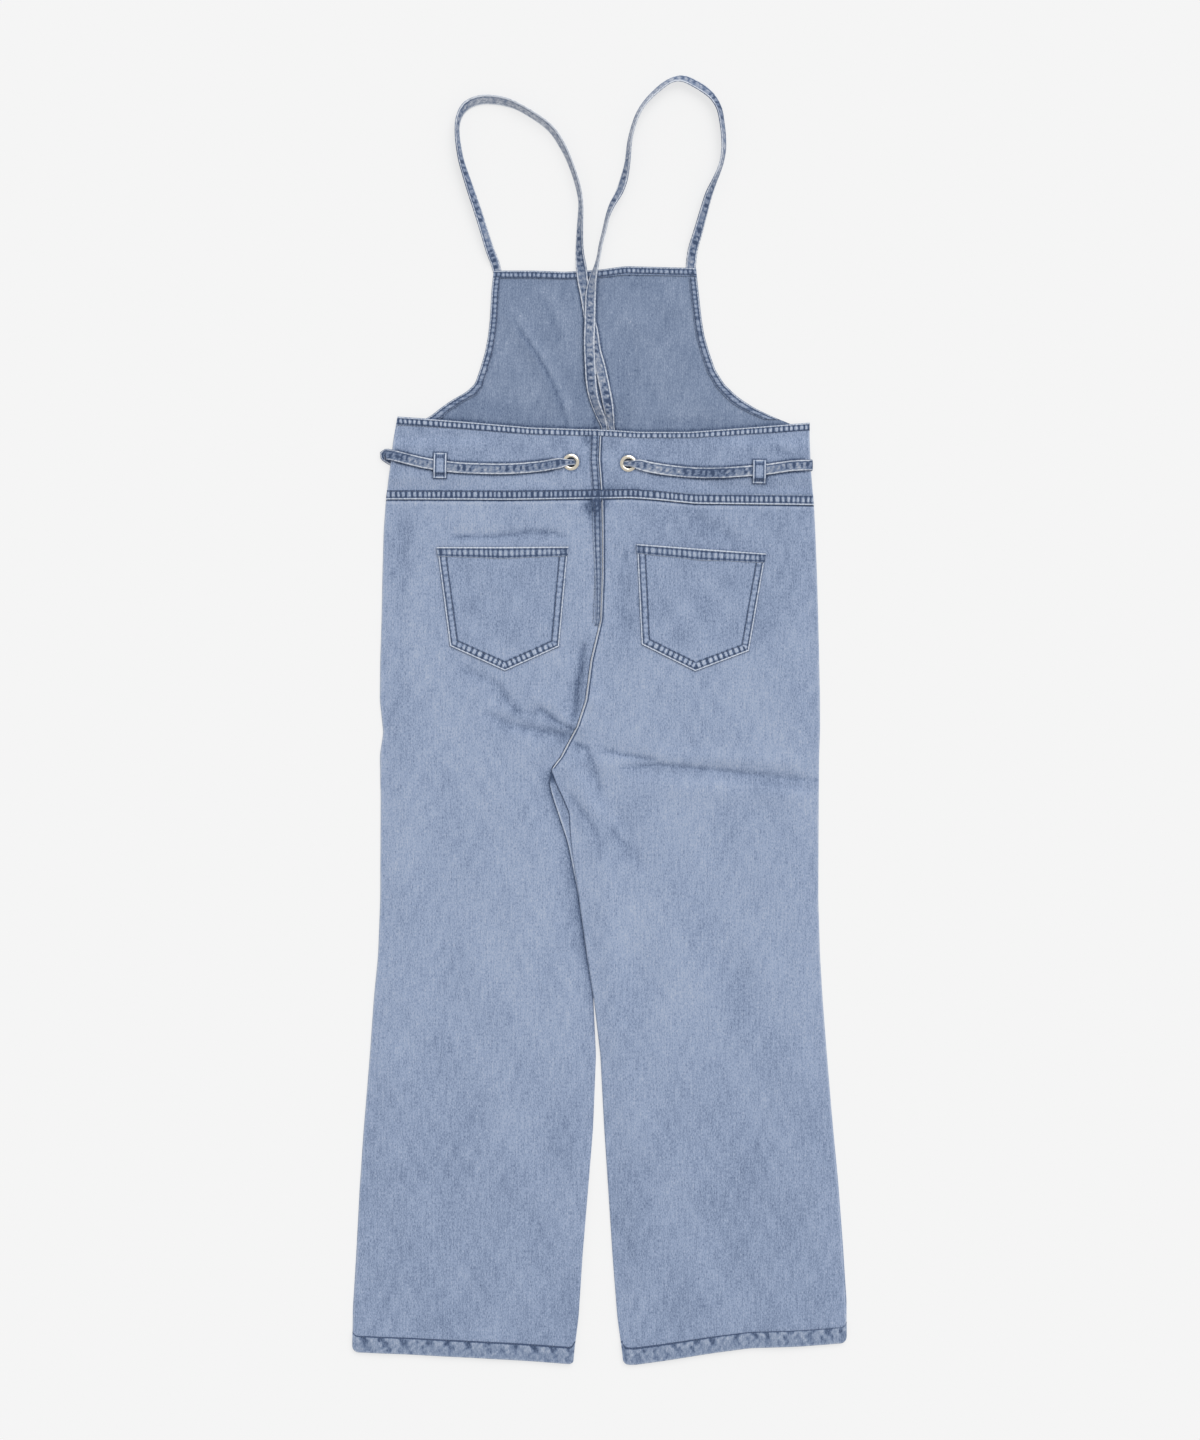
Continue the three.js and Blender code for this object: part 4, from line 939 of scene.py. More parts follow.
BAND_RIGHT = {**BAND_LEFT, "left": right_inner, "right": right_side}
BIB_PANEL = {
    "high": BIB_TOP_Y, "low": FRONT_WAIST_Y, "bottom_reach": TOP_REACH, "left": bib_left, "right": bib_right,
    "top": bib_top, "bottom": level_edge(FRONT_WAIST_Y + GAP / 2),
}

# What each half of the garment has
HALVES = (
    {
        "side": "left", "leg": BACK_LEFT, "front": FRONT_LEFT, "band": BAND_LEFT, "top": left_top,
        "pocket": POCKET_LEFT, "loop": LOOP_LEFT, "eyelet": EYELET_LEFT, "tie": TIE_LEFT_SHOWN,
        "bib_edge": bib_left, "inward": 1, "front_lift": None, "band_top_length": 237,
    },
    {
        "side": "right", "leg": BACK_RIGHT, "front": FRONT_RIGHT, "band": BAND_RIGHT, "top": right_top,
        "pocket": POCKET_RIGHT, "loop": LOOP_RIGHT, "eyelet": EYELET_RIGHT, "tie": TIE_RIGHT_SHOWN,
        "bib_edge": bib_right, "inward": -1, "front_lift": FRONT_LIFT, "band_top_length": 242,
    },
)


def spaced(length, step, rim=RIM):
    """Places from 0 to a length, closer together at both ends."""
    rim = np.array([r for r in rim if r < length / 3])
    start = rim[-1] + step if len(rim) else step
    middle = np.linspace(start, length - start, max(int(round((length - 2 * start) / step)), 1) + 1)
    return np.concatenate([[0], rim, middle, length - rim[::-1], [length]])


def hem_spaced(length, step=HEM_STEP):
    return spaced(length, step, rim=FINE_RIM)


def places(panel, levels, shares):
    """Places in rows between a panel's edges. Its first and last rows follow its top and bottom curves."""
    level, share = np.meshgrid(levels, shares, indexing="ij")
    x = lerp(panel["left"](level), panel["right"](level), share)
    top_share = np.maximum(1 - (panel["high"] - level) / TOP_REACH, 0)
    bottom_share = np.maximum(1 - (level - panel["low"]) / panel["bottom_reach"], 0)
    y = level + (panel["top"](x) - panel["high"]) * top_share
    return x, y + (panel["bottom"](x) - panel["low"]) * bottom_share


def panel_grid(panel, step, width=HALF_WIDTH, rim=RIM):
    """A panel's places."""
    levels = panel["high"] - spaced(panel["high"] - panel["low"], step)
    return places(panel, levels, spaced(width, step, rim=rim) / width)


def back_leg_grid(panel):
    """A back leg's places, with its rows further apart on the lower leg."""
    edge_rows = len(RIM) + 1
    fine = panel["high"] - spaced(panel["high"] - LOW_LEG_Y, STEP["back_leg"])
    coarse = LOW_LEG_Y - spaced(LOW_LEG_Y - panel["low"], STEP["low_leg"])
    levels = np.concatenate([fine[:-edge_rows], coarse[edge_rows:]])
    return places(panel, levels, spaced(HALF_WIDTH, STEP["back_leg"], rim=SEAM_RIM) / HALF_WIDTH)


def new_object(name, points, faces, uvs=None, tones=None, sharp=True):
    """A smooth-shaded object from points in millimetres, riding on the root body."""
    mesh = bpy.data.meshes.new(name)
    mesh.from_pydata((np.asarray(points) * MM).tolist(), [], np.asarray(faces).tolist())
    mesh.polygons.foreach_set("use_smooth", np.ones(len(mesh.polygons), bool))
    if sharp:
        mesh.set_sharp_from_angle(angle=math.radians(SHARP_ANGLE))
    if uvs is not None:
        corners = np.zeros(len(mesh.loops), np.int32)
        mesh.loops.foreach_get("vertex_index", corners)
        layer = mesh.uv_layers.new(name="warp")
        layer.data.foreach_set("uv", (np.asarray(uvs) * MM)[corners].astype(np.float32).ravel())
    if tones is not None:
        attribute = mesh.attributes.new("tone", "FLOAT", "POINT")
        attribute.data.foreach_set("value", np.asarray(tones, np.float32))
    mesh.update()
    piece = bpy.data.objects.new(name, mesh)
    bpy.context.scene.collection.objects.link(piece)
    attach(piece, "root")
    return piece


def shell(x, y, upper, tone, thickness, keep=None):
    """A thin closed wall of cloth under an upper surface, as points, faces, places on the cloth and tones."""
    size = x.size
    cell = np.arange(size).reshape(x.shape)
    quads = np.stack([cell[:-1, :-1], cell[1:, :-1], cell[1:, 1:], cell[:-1, 1:]], -1).reshape(-1, 4)
    if keep is not None:
        quads = quads[keep.ravel()[quads].all(axis=1)]
    a, b, c = (np.stack([x, y], -1).reshape(-1, 2)[quads[:, i]] for i in range(3))
    turn = np.cross(b - a, c - b).mean()
    quads = quads if turn > 0 else quads[:, ::-1]
    edges = np.stack([quads, np.roll(quads, -1, axis=1)], -1).reshape(-1, 2)
    key, back_key = edges[:, 0] * size + edges[:, 1], edges[:, 1] * size + edges[:, 0]
    rim = edges[~np.isin(key, back_key)]
    walls = np.stack([rim[:, 1], rim[:, 0], rim[:, 0] + size, rim[:, 1] + size], -1)
    lower = np.maximum(upper - thickness, FLOOR_CLEAR)
    points = np.concatenate([np.stack([x, y, z], -1).reshape(-1, 3) for z in (upper, lower)])
    tones = np.tile(np.broadcast_to(tone, x.shape).ravel(), 2)
    used, faces = np.unique(np.concatenate([quads, quads[:, ::-1] + size, walls]), return_inverse=True)
    return points[used], faces.reshape(-1, 4), points[used, :2], tones[used]


def cloth(name, slot, *surface, thickness=BACK_SHELL, keep=None):
    """A piece of cloth in the denim of its slot, which hides the node of its name."""
    dress(new_object(f"cloth_{name}", *shell(*surface, thickness, keep)), slot, name)


def dress(piece, slot, stands_for):
    """Gives a piece the denim of its slot, and hides the part of the model that it stands for."""
    piece.data.materials.append(materials[slot])
    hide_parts(stands_for)


def put(tree, socket, value):
    """Sets an input to a value, or links it where the value is a socket."""
    if isinstance(value, bpy.types.NodeSocket):
        tree.links.new(value, socket)
    else:
        socket.default_value = value


def node(tree, kind, **values):
    """A new node with its inputs set by name."""
    made = tree.nodes.new(kind)
    for name, value in values.items():
        put(tree, made.inputs[name.replace("_", " ")], value)
    return made


def maths(tree, operation, *values):
    made = tree.nodes.new("ShaderNodeMath")
    made.operation = operation
    for socket, value in zip(made.inputs, values):
        put(tree, socket, value)
    return made.outputs[0]


def noise(tree, place, stretch, scale, detail, roughness):
    """Noise over a place, drawn out along the warp by a stretch."""
    mapping = node(tree, "ShaderNodeMapping", Vector=place, Scale=(1, stretch, 1))
    vector = mapping.outputs[0]
    made = node(tree, "ShaderNodeTexNoise", Vector=vector, Scale=scale, Detail=detail, Roughness=roughness)
    return made.outputs[0]


def ramp(tree, value, colours):
    """Colours evenly spread over values from a first to a last place."""
    made = tree.nodes.new("ShaderNodeValToRGB")
    tree.links.new(value, made.inputs[0])
    while len(made.color_ramp.elements) < len(colours):
        made.color_ramp.elements.new(0.5)
    for element, (place, colour) in zip(made.color_ramp.elements, colours):
        element.position = place
        element.color = (*colour, 1)
    return made.outputs[0]


def new_material(name):
    """An empty material and its node tree."""
    material = bpy.data.materials.new(name)
    material.use_nodes = True
    material.node_tree.nodes.clear()
    return material, material.node_tree


def show(tree, shader):
    output = tree.nodes.new("ShaderNodeOutputMaterial")
    tree.links.new(shader.outputs[0], output.inputs["Surface"])


def denim_material(name, look):
    """Woven denim: warp streaks, slubs, mottling and twill, coloured by the tone of each piece, which holds
    the cloth's own tone as well as painted shade and highlights.
    """
    material, tree = new_material(name)
    warp = node(tree, "ShaderNodeUVMap")
    warp.uv_map = "warp"
    place = warp.outputs[0]
    tone = tree.nodes.new("ShaderNodeAttribute")
    tone.attribute_name = "tone"
    mix = 0.0
    for stretch, scale, share in WEAVE_NOISES:
        mix = maths(tree, "MULTIPLY_ADD", noise(tree, place, stretch, scale, 2.0, 0.6), share, mix)
    mottle = noise(tree, place, 0.7, look["scale"], 4.0, 0.62)
    value = maths(tree, "MULTIPLY_ADD", maths(tree, "SUBTRACT", mix, 0.5), look["weave"] * 2, 0.5)
    value = maths(tree, "MULTIPLY_ADD", maths(tree, "SUBTRACT", mottle, 0.5), look["mottle"], value)
    # The tone attribute holds the cloth's own tone and the painted shade and highlights.
    value = maths(tree, "MULTIPLY_ADD", tone.outputs["Fac"], 0.5, value)
    middles = [look[key] for key in ("dark", "middle", "pale")]
    colour = ramp(tree, value, list(zip((0.0, 0.25, 0.5, 0.75, 1.0), (DARKEST, *middles, PALEST))))
    twill = node(tree, "ShaderNodeTexWave", Vector=place, Scale=TWILL_SCALE, Distortion=TWILL_DISTORTION)
    twill.bands_direction = "DIAGONAL"
    weave = maths(tree, "MULTIPLY_ADD", twill.outputs["Fac"], 0.5, mix)
    relief = node(tree, "ShaderNodeBump", Height=weave, Strength=0.35, Distance=WEAVE_DEPTH * MM)
    shader = node(
        tree, "ShaderNodeBsdfPrincipled", Base_Color=colour, Normal=relief.outputs[0], Roughness=0.92,
        Specular_IOR_Level=0.15, Sheen_Weight=0.08, Sheen_Roughness=0.6,
    )
    show(tree, shader)
    return material


def plain_material(name, colour, roughness, metallic):
    """A single-coloured finish with fine uneven gloss."""
    material, tree = new_material(name)
    place = tree.nodes.new("ShaderNodeTexCoord").outputs["Object"]
    grains = node(tree, "ShaderNodeTexNoise", Vector=place, Scale=GRAIN_SCALE, Detail=3.0).outputs[0]
    gloss = maths(tree, "MULTIPLY_ADD", grains, 0.16, roughness - 0.08)
    shade = maths(tree, "MULTIPLY_ADD", grains, 0.3, 0.35)
    light = [min(c * 1.25, 1.0) for c in colour]
    dark = [c * 0.72 for c in colour]
    colours = ramp(tree, shade, [(0.25, dark), (0.5, colour), (0.75, light)])
    relief = node(tree, "ShaderNodeBump", Height=grains, Strength=0.2, Distance=GRAIN_DEPTH * MM)
    shader = node(
        tree, "ShaderNodeBsdfPrincipled", Base_Color=colours, Normal=relief.outputs[0], Roughness=gloss,
        Metallic=metallic,
    )
    show(tree, shader)
    return material


materials = {name: denim_material(name, look) for name, look in DENIMS.items()}
thread_material = plain_material("thread", THREAD_COLOUR, THREAD_ROUGHNESS, 0.0)
metal_material = plain_material("eyelet_metal", METAL_COLOUR, METAL_ROUGHNESS, 1.0)


def leg_tone_and_shade(x, y):
    """Tone of the legs: darker on the right of the seat and towards the hems, with painted shade in the fold
    troughs and at the creases, and a faint painted highlight on the fold ridges.
    """
    low = smooth((-250 - y) / 350)
    seat = smooth((x + 10) / 50) * smooth((y - 60) / 70)
    tone = -0.15 * low - 0.13 * seat + 0.05 * waves(x, y, 90, 160, 31) + 0.04 * waves(x, y, 22, 30, 38)
    # Painted shade in the troughs of the largest folds and a faint painted highlight on their ridges, then
    # painted shade and highlights at the creases.
    tone = tone - 0.01 + 0.05 * np.clip(fold_height(FOLDS, x, y), -1.2, 0.5)
    return tone + crease_shade_and_highlight(FINE_CREASES, x, y) + patches(x, y)


def centre_seam_ridge_and_shade(x, y):
    """The seam down the seat: a pale ridge on the right panel with a painted shadow line on each side of it,
    and painted shade in the soft fold left of it.
    """
    from_seam = left_inner(y) - x
    seat = smooth((y - CROTCH_Y) / 4)
    on_right = from_seam < 0
    ridge = 2.1 * bump(from_seam + 0.8, 0.75) * on_right
    # Painted shadow lines on both sides of the ridge, and painted shade in the fold on the left panel.
    line = 1.4 * bump(from_seam + 2.7, 0.8) * on_right + 0.9 * bump(from_seam - 0.5, 0.7) * ~on_right
    shade = 0.4 * bump(from_seam - 6, 8) * bump(y - 38, 48) * ~on_right
    return seat * (ridge - line) - shade


def crossing_shade(x, y):
    """The shade on the left leg along the inner edge of the right leg, which lies on it."""
    from_edge = np.minimum(right_inner(y), right_front_inner(y)) - x
    along = smooth((CROTCH_Y + 8 - y) / 14) * smooth((y - LIFT_END_Y + 60) / 160)
    soft = 0.45 * np.exp(-np.maximum(from_edge, 0) / 8) + 0.4 * np.exp(-np.maximum(from_edge, 0) / 2.5)
    return -soft * (from_edge > -2) * along


def make_back_legs():
    for half in HALVES:
        side, panel = half["side"], half["leg"]
        x, y = back_leg_grid(panel)
        from_left, from_right = x - panel["left"](y), panel["right"](y) - x
        from_outer = from_left if side == "left" else from_right
        from_top = panel["top"](x) - y
        upper = half["top"](x, y) - rounded(np.minimum(from_left, from_right), LEG_ROUND)
        tone = leg_tone_and_shade(x, y) + centre_seam_ridge_and_shade(x, y) + 0.3 * bump(from_outer - 0.8, 1.0)
        # Painted shadow as a dark line under the waist seam, with a paler band just below it.
        tone = tone - 1.5 * bump(from_top - 0.2, 0.9) + 0.25 * bump(from_top - 3.2, 1.6)
        if side == "left":
            tone = tone + crossing_shade(x, y)
        else:
            # Painted shadow on the inner rim of the right leg below the crotch, where it lies over the front.
            below_crotch = smooth((CROTCH_Y - 2 - y) / 4)
            tone = tone - 1.3 * bump(from_left, 1.1) * below_crotch * smooth((y + 175) / 60)
        cloth(f"back_leg_{side}", "denim", x, y, upper, tone)


def make_front_legs():
    for half in HALVES:
        x, y = panel_grid(half["front"], STEP["front_leg"])
        upper = np.full(x.shape, FRONT_UPPER)
        if half["front_lift"]:
            upper = upper + legs_cross_lift(x, y, half["front_lift"])
        from_left = x - half["front"]["left"](y)
        tone = leg_tone_and_shade(x, y) - 0.25 + 0.7 * bump(from_left - 0.6, 1.0) * smooth((-70 - y) / 12)
        # Painted shadow at the top of the front near the crotch, under the corner of the back.
        tone = tone - 1.2 * smooth((y + 72) / 8)
        cloth(f"front_leg_{half['side']}", "denim", x, y, upper, tone, thickness=TRIM_SHELL)


def hem_relief(depth, along, seed, look):
    """Height and tone of a stitched hem: sunk stitch rows, puckers between them, worn edges and a painted
    shadow along its outer edge.
    """
    pucker, marks = ripple(along, look["period"], seed), look["marks"]
    between = smooth((depth - 1.2) / 1.2) * smooth((look["width"] - depth) / 1.2)
    height = look["high"] * pucker * between * (0.3 + 0.7 * marks)
    tone = marks * (0.45 - 1.5 * smooth((0.15 - pucker) / 0.7)) * between - 0.1 * (1 - marks)
    for row in look["rows"]:
        height = height - ROW_SINK * bump(depth - row, 0.8)
        tone = tone - (1.1 + 0.3 * pucker) * bump(depth - row, 0.85)
    worn = 0.9 + 0.3 * ripple(along, 4.1, seed + 50)
    tone = tone + look["worn_edge"] * worn * bump(depth - 1.1, 0.7)
    # The outline is a painted shadow along the outer edge of the hem.
    return height, tone - 1.3 * look["outline"] * bump(depth, 0.55)


def leg_hem_relief(depth, along, seed, look):
    """The wide turned hem of a leg: one broken stitch line, roped folds under it and a soft worn edge."""
    slant = along + 0.2 * depth
    roped = 0.75 * waves(slant, depth, 15, 40, seed, 14) + 0.5 * waves(along, depth, 9, 12, seed + 5, 14)
    row = look["rows"][0]
    near_row = smooth((depth - 5) / 10) * smooth((row - 0.6 - depth) / 1.2)
    height = 0.2 * roped * smooth(depth / 3) * smooth((look["width"] - depth) / 1.5)
    tone = (0.26 - 0.85 * smooth((0.35 - roped) / 1.4)) * (0.35 + 0.65 * near_row)
    tone = tone + 0.1 * waves(along, depth, 8, 8, seed + 2)
    broken = 0.95 + 0.3 * ripple(along, 3.9, seed + 3)
    height = height - ROW_SINK * bump(depth - row, 0.8)
    tone = tone - 2.3 * broken * bump(depth - row, 0.95)
    return height, tone - 0.23 + 0.35 * bump(depth - 0.6, 1.2)


def strip(name, x, y, base, depth, along, extra=0.0, relief=hem_relief):
    """A hem or felled seam that lies on a panel. Feather is how far its inner edge sinks into the panel."""
    look = {**PLAIN_HEM, **HEMS[name.removesuffix("_left").removesuffix("_right")]}
    height, tone = relief(depth, along, SEEDS[name], look)
    upper = base + GAP + TRIM_WALL + height
    feather, from_inner = look["feather"], depth - look["width"]
    if feather:
        upper = upper - (GAP + TRIM_WALL - 0.15) * smooth((from_inner + feather) / feather)
    tone = tone + look["inner_pale"] * bump(from_inner, 0.8) + patches(x, y) + look["tone"] + extra
    cloth(name, "denim_seam", x, y, upper - rounded(depth, EDGE_ROUND), tone, thickness=TRIM_WALL)


def make_leg_hems():
    levels = HEM_Y + LEG_HEM - hem_spaced(LEG_HEM, STEP["leg_hem_depth"])
    shares = hem_spaced(HALF_WIDTH, STEP["leg_hem"]) / HALF_WIDTH
    for half in HALVES:
        x, y = places(half["leg"], levels, shares)
        depth = y - half["leg"]["bottom"](x)
        strip(f"leg_hem_{half['side']}", x, y, half["top"](x, y), depth, x, relief=leg_hem_relief)


def make_seat_seam():
    levels = WAIST_Y - spaced(WAIST_Y - SEAT_SEAM_END_Y, STEP["seat_seam"], rim=SEAT_RIM)
    level, depth = np.meshgrid(levels, hem_spaced(SEAM_STRIP), indexing="ij")
    narrow = lerp(SEAT_SEAM_NARROW, 1, smooth((level - SEAT_SEAM_END_Y) / 120))
    x = left_inner(level) - depth * narrow
    y = level + (waist(left_inner(level)) - WAIST_Y) * smooth((level - 240) / 12)
    strip("seat_seam", x, y, left_top(x, y), depth, y)


def strap_shade(x, y):
    """The thin shade on the bib beside the straps that lie on it."""
    total = nothing(x, y)
    for strap in (LEFT_STRAP_SHOWN, RIGHT_STRAP_SHOWN):
        order = np.argsort(strap["y"])
        lies = order[strap["y"][order] < BIB_TOP_Y + 4]
        shown_half = np.cos(np.radians(strap["lean"][lies])) * strap["width"][lies] / 2
        middle = np.interp(y, strap["y"][lies], strap["x"][lies])
        reach = np.interp(y, strap["y"][lies], shown_half)
        total = np.minimum(total, -0.8 * bump(np.abs(x - middle) - reach - 0.6, 1.7))
    return total


def bartacks(x, y, corners, half=3.4):
    """Small dark squares of close stitching at corners."""
    total = nothing(x, y)
    for cx, cy in corners:
        square = smooth((half - np.maximum(np.abs(x - cx), np.abs(y - cy))) / 0.9)
        total = total - (0.55 - 0.3 * np.sin(3.2 * (y - cy))) * square
    return total


def make_bib():
    x, y = panel_grid(BIB_PANEL, STEP["bib"], width=BIB_GRID_WIDTH)
    over_band = y - band_top(x)
    # Painted shade and highlights at the creases, a painted shadow just above the band's top edge, and
    # painted shade beside the straps.
    tone = crease_shade_and_highlight(BIB_FINE_CREASES, x, y) + 0.05 * waves(x, y, 60, 90, 32)
    tone = tone + 0.04 * waves(x, y, 18, 26, 36) - 0.03
    tone = tone - 0.12 * bump(over_band - 2, 9) - 0.6 * bump(over_band - 1, 2) + strap_shade(x, y)
    cloth("bib", "denim_inside", x, y, bib_inside(x, y), tone, thickness=BIB_SHELL)
    shares = hem_spaced(BIB_TOP_WIDTH, STEP["bib_hem"]) / BIB_TOP_WIDTH
    x, y = places(BIB_PANEL, BIB_TOP_Y - hem_spaced(BIB_HEM), shares)
    strip("bib_top_hem", x, y, bib_inside(x, y), bib_top(x) - y, x, bartacks(x, y, BIB_CORNERS))
    top = BIB_TOP_Y - BIB_HEM - GAP
    levels = top - hem_spaced(top - BIB_HEM_END_Y, STEP["bib_hem"])
    level, inset = np.meshgrid(levels, hem_spaced(BIB_HEM), indexing="ij")
    for half in HALVES:
        steep = steepness(half["bib_edge"], level)
        x = half["bib_edge"](level) + half["inward"] * inset * np.minimum(steep, BIB_HEM_SPREAD)
        strip(f"bib_side_hem_{half['side']}", x, level, bib_inside(x, level), inset, level * steep)


def band_tone(x, y):
    tone = 0.05 * waves(x, y, 50, 40, 33) - 0.15 + 0.14 * bump(y - 272, 10) * (x < -20)
    # Painted shade and highlights at the creases, with the dark patches of dye.
    return tone + crease_shade_and_highlight(FINE_CREASES, x, y) + patches(x, y)


def tie_shade(x, y, tie):
    """The thin shade beside a tie that lies on the band."""
    order = np.argsort(tie["x"])
    middle = np.interp(x, tie["x"][order], tie["y"][order])
    beside = np.abs(y - middle) - STRAP_WIDTH / 2
    under = (x > tie["x"].min()) & (x < tie["x"].max())
    return -0.8 * bump(beside - 0.5, 1.3) * under


def loop_shade(x, y, loop):
    """The dark line on the band round a belt loop."""
    beside_x = np.abs(x - loop["x"]) - loop["width"] / 2
    beside_y = np.abs(y - loop["y"]) - loop["length"] / 2
    return -0.6 * bump(np.maximum(beside_x, beside_y) - 0.4, 0.9)


def make_band_half(half):
    """One half of the band, round its eyelet's hole, with its two hems."""
    side, top = half["side"], half["top"]
    x, y = panel_grid(half["band"], STEP["band"], rim=SEAM_RIM)
    from_side = np.minimum(x - left_side(y), right_side(y) - x)
    from_seam = np.abs(x - left_inner(y))
    from_eyelet = np.hypot(x - half["eyelet"][0], y - half["eyelet"][1])
    upper = top(x, y) - rounded(np.minimum(from_side, from_seam), BAND_ROUND)
    tone = band_tone(x, y) + 0.35 * bump(from_side - 0.8, 1.0) - 0.35 * bump(from_eyelet - 10.2, 1.4)
    tone = tone + tie_shade(x, y, half["tie"]) + loop_shade(x, y, half["loop"])
    if side == "right":
        tone = tone + centre_seam_ridge_and_shade(x, y)
    cloth(f"back_band_{side}", "denim", x, y, upper, tone, keep=from_eyelet > EYELET_HOLE)
    shares = hem_spaced(HALF_WIDTH, STEP["band_hem"]) / HALF_WIDTH
    x, y = places(half["band"], BAND_TOP_Y - hem_spaced(BAND_HEM), shares)
    strip(f"band_top_hem_{side}", x, y, top(x, y), band_top(x) - y, x)
    x, y = places(half["band"], WAIST_Y + WAIST_STRIP - hem_spaced(WAIST_STRIP), shares)
    strip(f"waist_seam_{side}", x, y, top(x, y), y - waist(x), x, WAIST_SEAM_TONE[side])


def make_band():
    for half in HALVES:
        make_band_half(half)
    top = BAND_TOP_Y - BAND_HEM - GAP
    levels = top - hem_spaced(top - WAIST_Y - WAIST_STRIP - GAP, STEP["centre_seam"])
    x, y = places(BAND_LEFT, levels, 1 - hem_spaced(SEAM_STRIP) / HALF_WIDTH)
    strip("band_centre_seam", x, y, left_top(x, y), left_inner(y) - x, y)


def between(a, b, share):
    return tuple(lerp(p, q, share) for p, q in zip(a, b))


def pocket_places(shape, downs, acrosses):
    """A pocket in rows from its mouth down, with its point in the middle column."""
    down, across = np.meshgrid(downs, acrosses, indexing="ij")
    top = between(shape["top_left"], shape["top_right"], across)
    corner = tuple(np.where(across < 0.5, a, b) for a, b in zip(shape["low_left"], shape["low_right"]))
    low = between(corner, shape["point"], 1 - np.abs(across - 0.5) * 2)
    return between(top, low, down)


def pocket_outline(shape):
    return [shape[corner] for corner in ("top_left", "low_left", "point", "low_right", "top_right")]


def pocket_height(shape):
    return shape["top_left"][1] - shape["low_left"][1]


def edge_field(x, y, outline):
    """Distance inside the nearest side of an open outline, and the length along it there."""
    best, length_at, start = np.full(x.shape, np.inf), nothing(x, y), 0.0
    for (x1, y1), (x2, y2) in zip(outline, outline[1:]):
        long = math.hypot(x2 - x1, y2 - y1)
        ux, uy = (x2 - x1) / long, (y2 - y1) / long
        along = np.clip((x - x1) * ux + (y - y1) * uy, 0, long)
        distance = np.hypot(x - x1 - along * ux, y - y1 - along * uy)
        nearer = distance < best
        best = np.where(nearer, distance, best)
        length_at = np.where(nearer, start + along, length_at)
        start += long
    return best, length_at


def make_pocket(half):
    """A pocket and the turned hem of its mouth."""
    side, shape, top = half["side"], half["pocket"], half["top"]
    seed = SEEDS[f"pocket_{side}"]
    downs = spaced(POCKET_TALL, STEP["pocket"], rim=POCKET_RIM) / POCKET_TALL
    x, y = pocket_places(shape, downs, spaced(POCKET_WIDE, STEP["pocket"], rim=POCKET_RIM) / POCKET_WIDE)
    depth, along = edge_field(x, y, pocket_outline(shape))
    marks = lerp(0.22, 1, smooth((shape["low_left"][1] + 8 - y) / 14))
    border = {**PLAIN_HEM, **HEMS["pocket"], "marks": marks}
    height, tone = hem_relief(depth, along, seed + 1, border)
    on_border = smooth((POCKET_BORDER - depth) / 2)
    inside = smooth((depth - POCKET_BORDER) / 6)
    height = height + 0.15 * waves(x, y, 45, 50, seed) * inside
    tone = tone + (0.07 + 0.12 * waves(x, y, 9, 11, seed + 6)) * on_border
    tone = tone + 0.05 * waves(x, y, 50, 60, seed + 2) * inside - 0.05
    upper = top(x, y) + GAP + WALL + height - rounded(depth, EDGE_ROUND)
    cloth(f"pocket_{side}", "denim", x, y, upper, tone, thickness=TRIM_SHELL)
    downs = hem_spaced(POCKET_HEM) / pocket_height(shape)
    x, y = pocket_places(shape, downs, hem_spaced(POCKET_WIDE, STEP["pocket_hem"]) / POCKET_WIDE)
    depth = np.broadcast_to(downs[:, None] * pocket_height(shape), x.shape)
    (left_x, left_y), (right_x, right_y) = shape["top_left"], shape["top_right"]
    left_corner = (left_x + CORNER_INSET, left_y - CORNER_INSET)
    right_corner = (right_x - CORNER_INSET, right_y - CORNER_INSET)
    extra = bartacks(x, y, [left_corner, right_corner])
    strip(f"pocket_hem_{side}", x, y, top(x, y) + GAP + WALL, depth, x, extra)


def under_tie(top, x, y):
    """The highest place of the band across a tie's width."""
    away = [-STRAP_WIDTH / 2, 0, STRAP_WIDTH / 2]
    return np.max([top(x + dx, y + dy) for dy in away for dx in (-TIE_SPREAD, TIE_SPREAD)], axis=0)


def loop_under(shape, top, x, y):
    """Underside of a belt loop, which lies on the band at its two ends and arches over the tie."""
    down = (np.abs(y - shape["y"]) - LOOP_ARCH_FLAT) / (LOOP_ARCH_FOOT - LOOP_ARCH_FLAT)
    return top(x, y) + GAP + (STRAP_WALL + 2 * SOFT_GAP) * (1 - smooth(down))


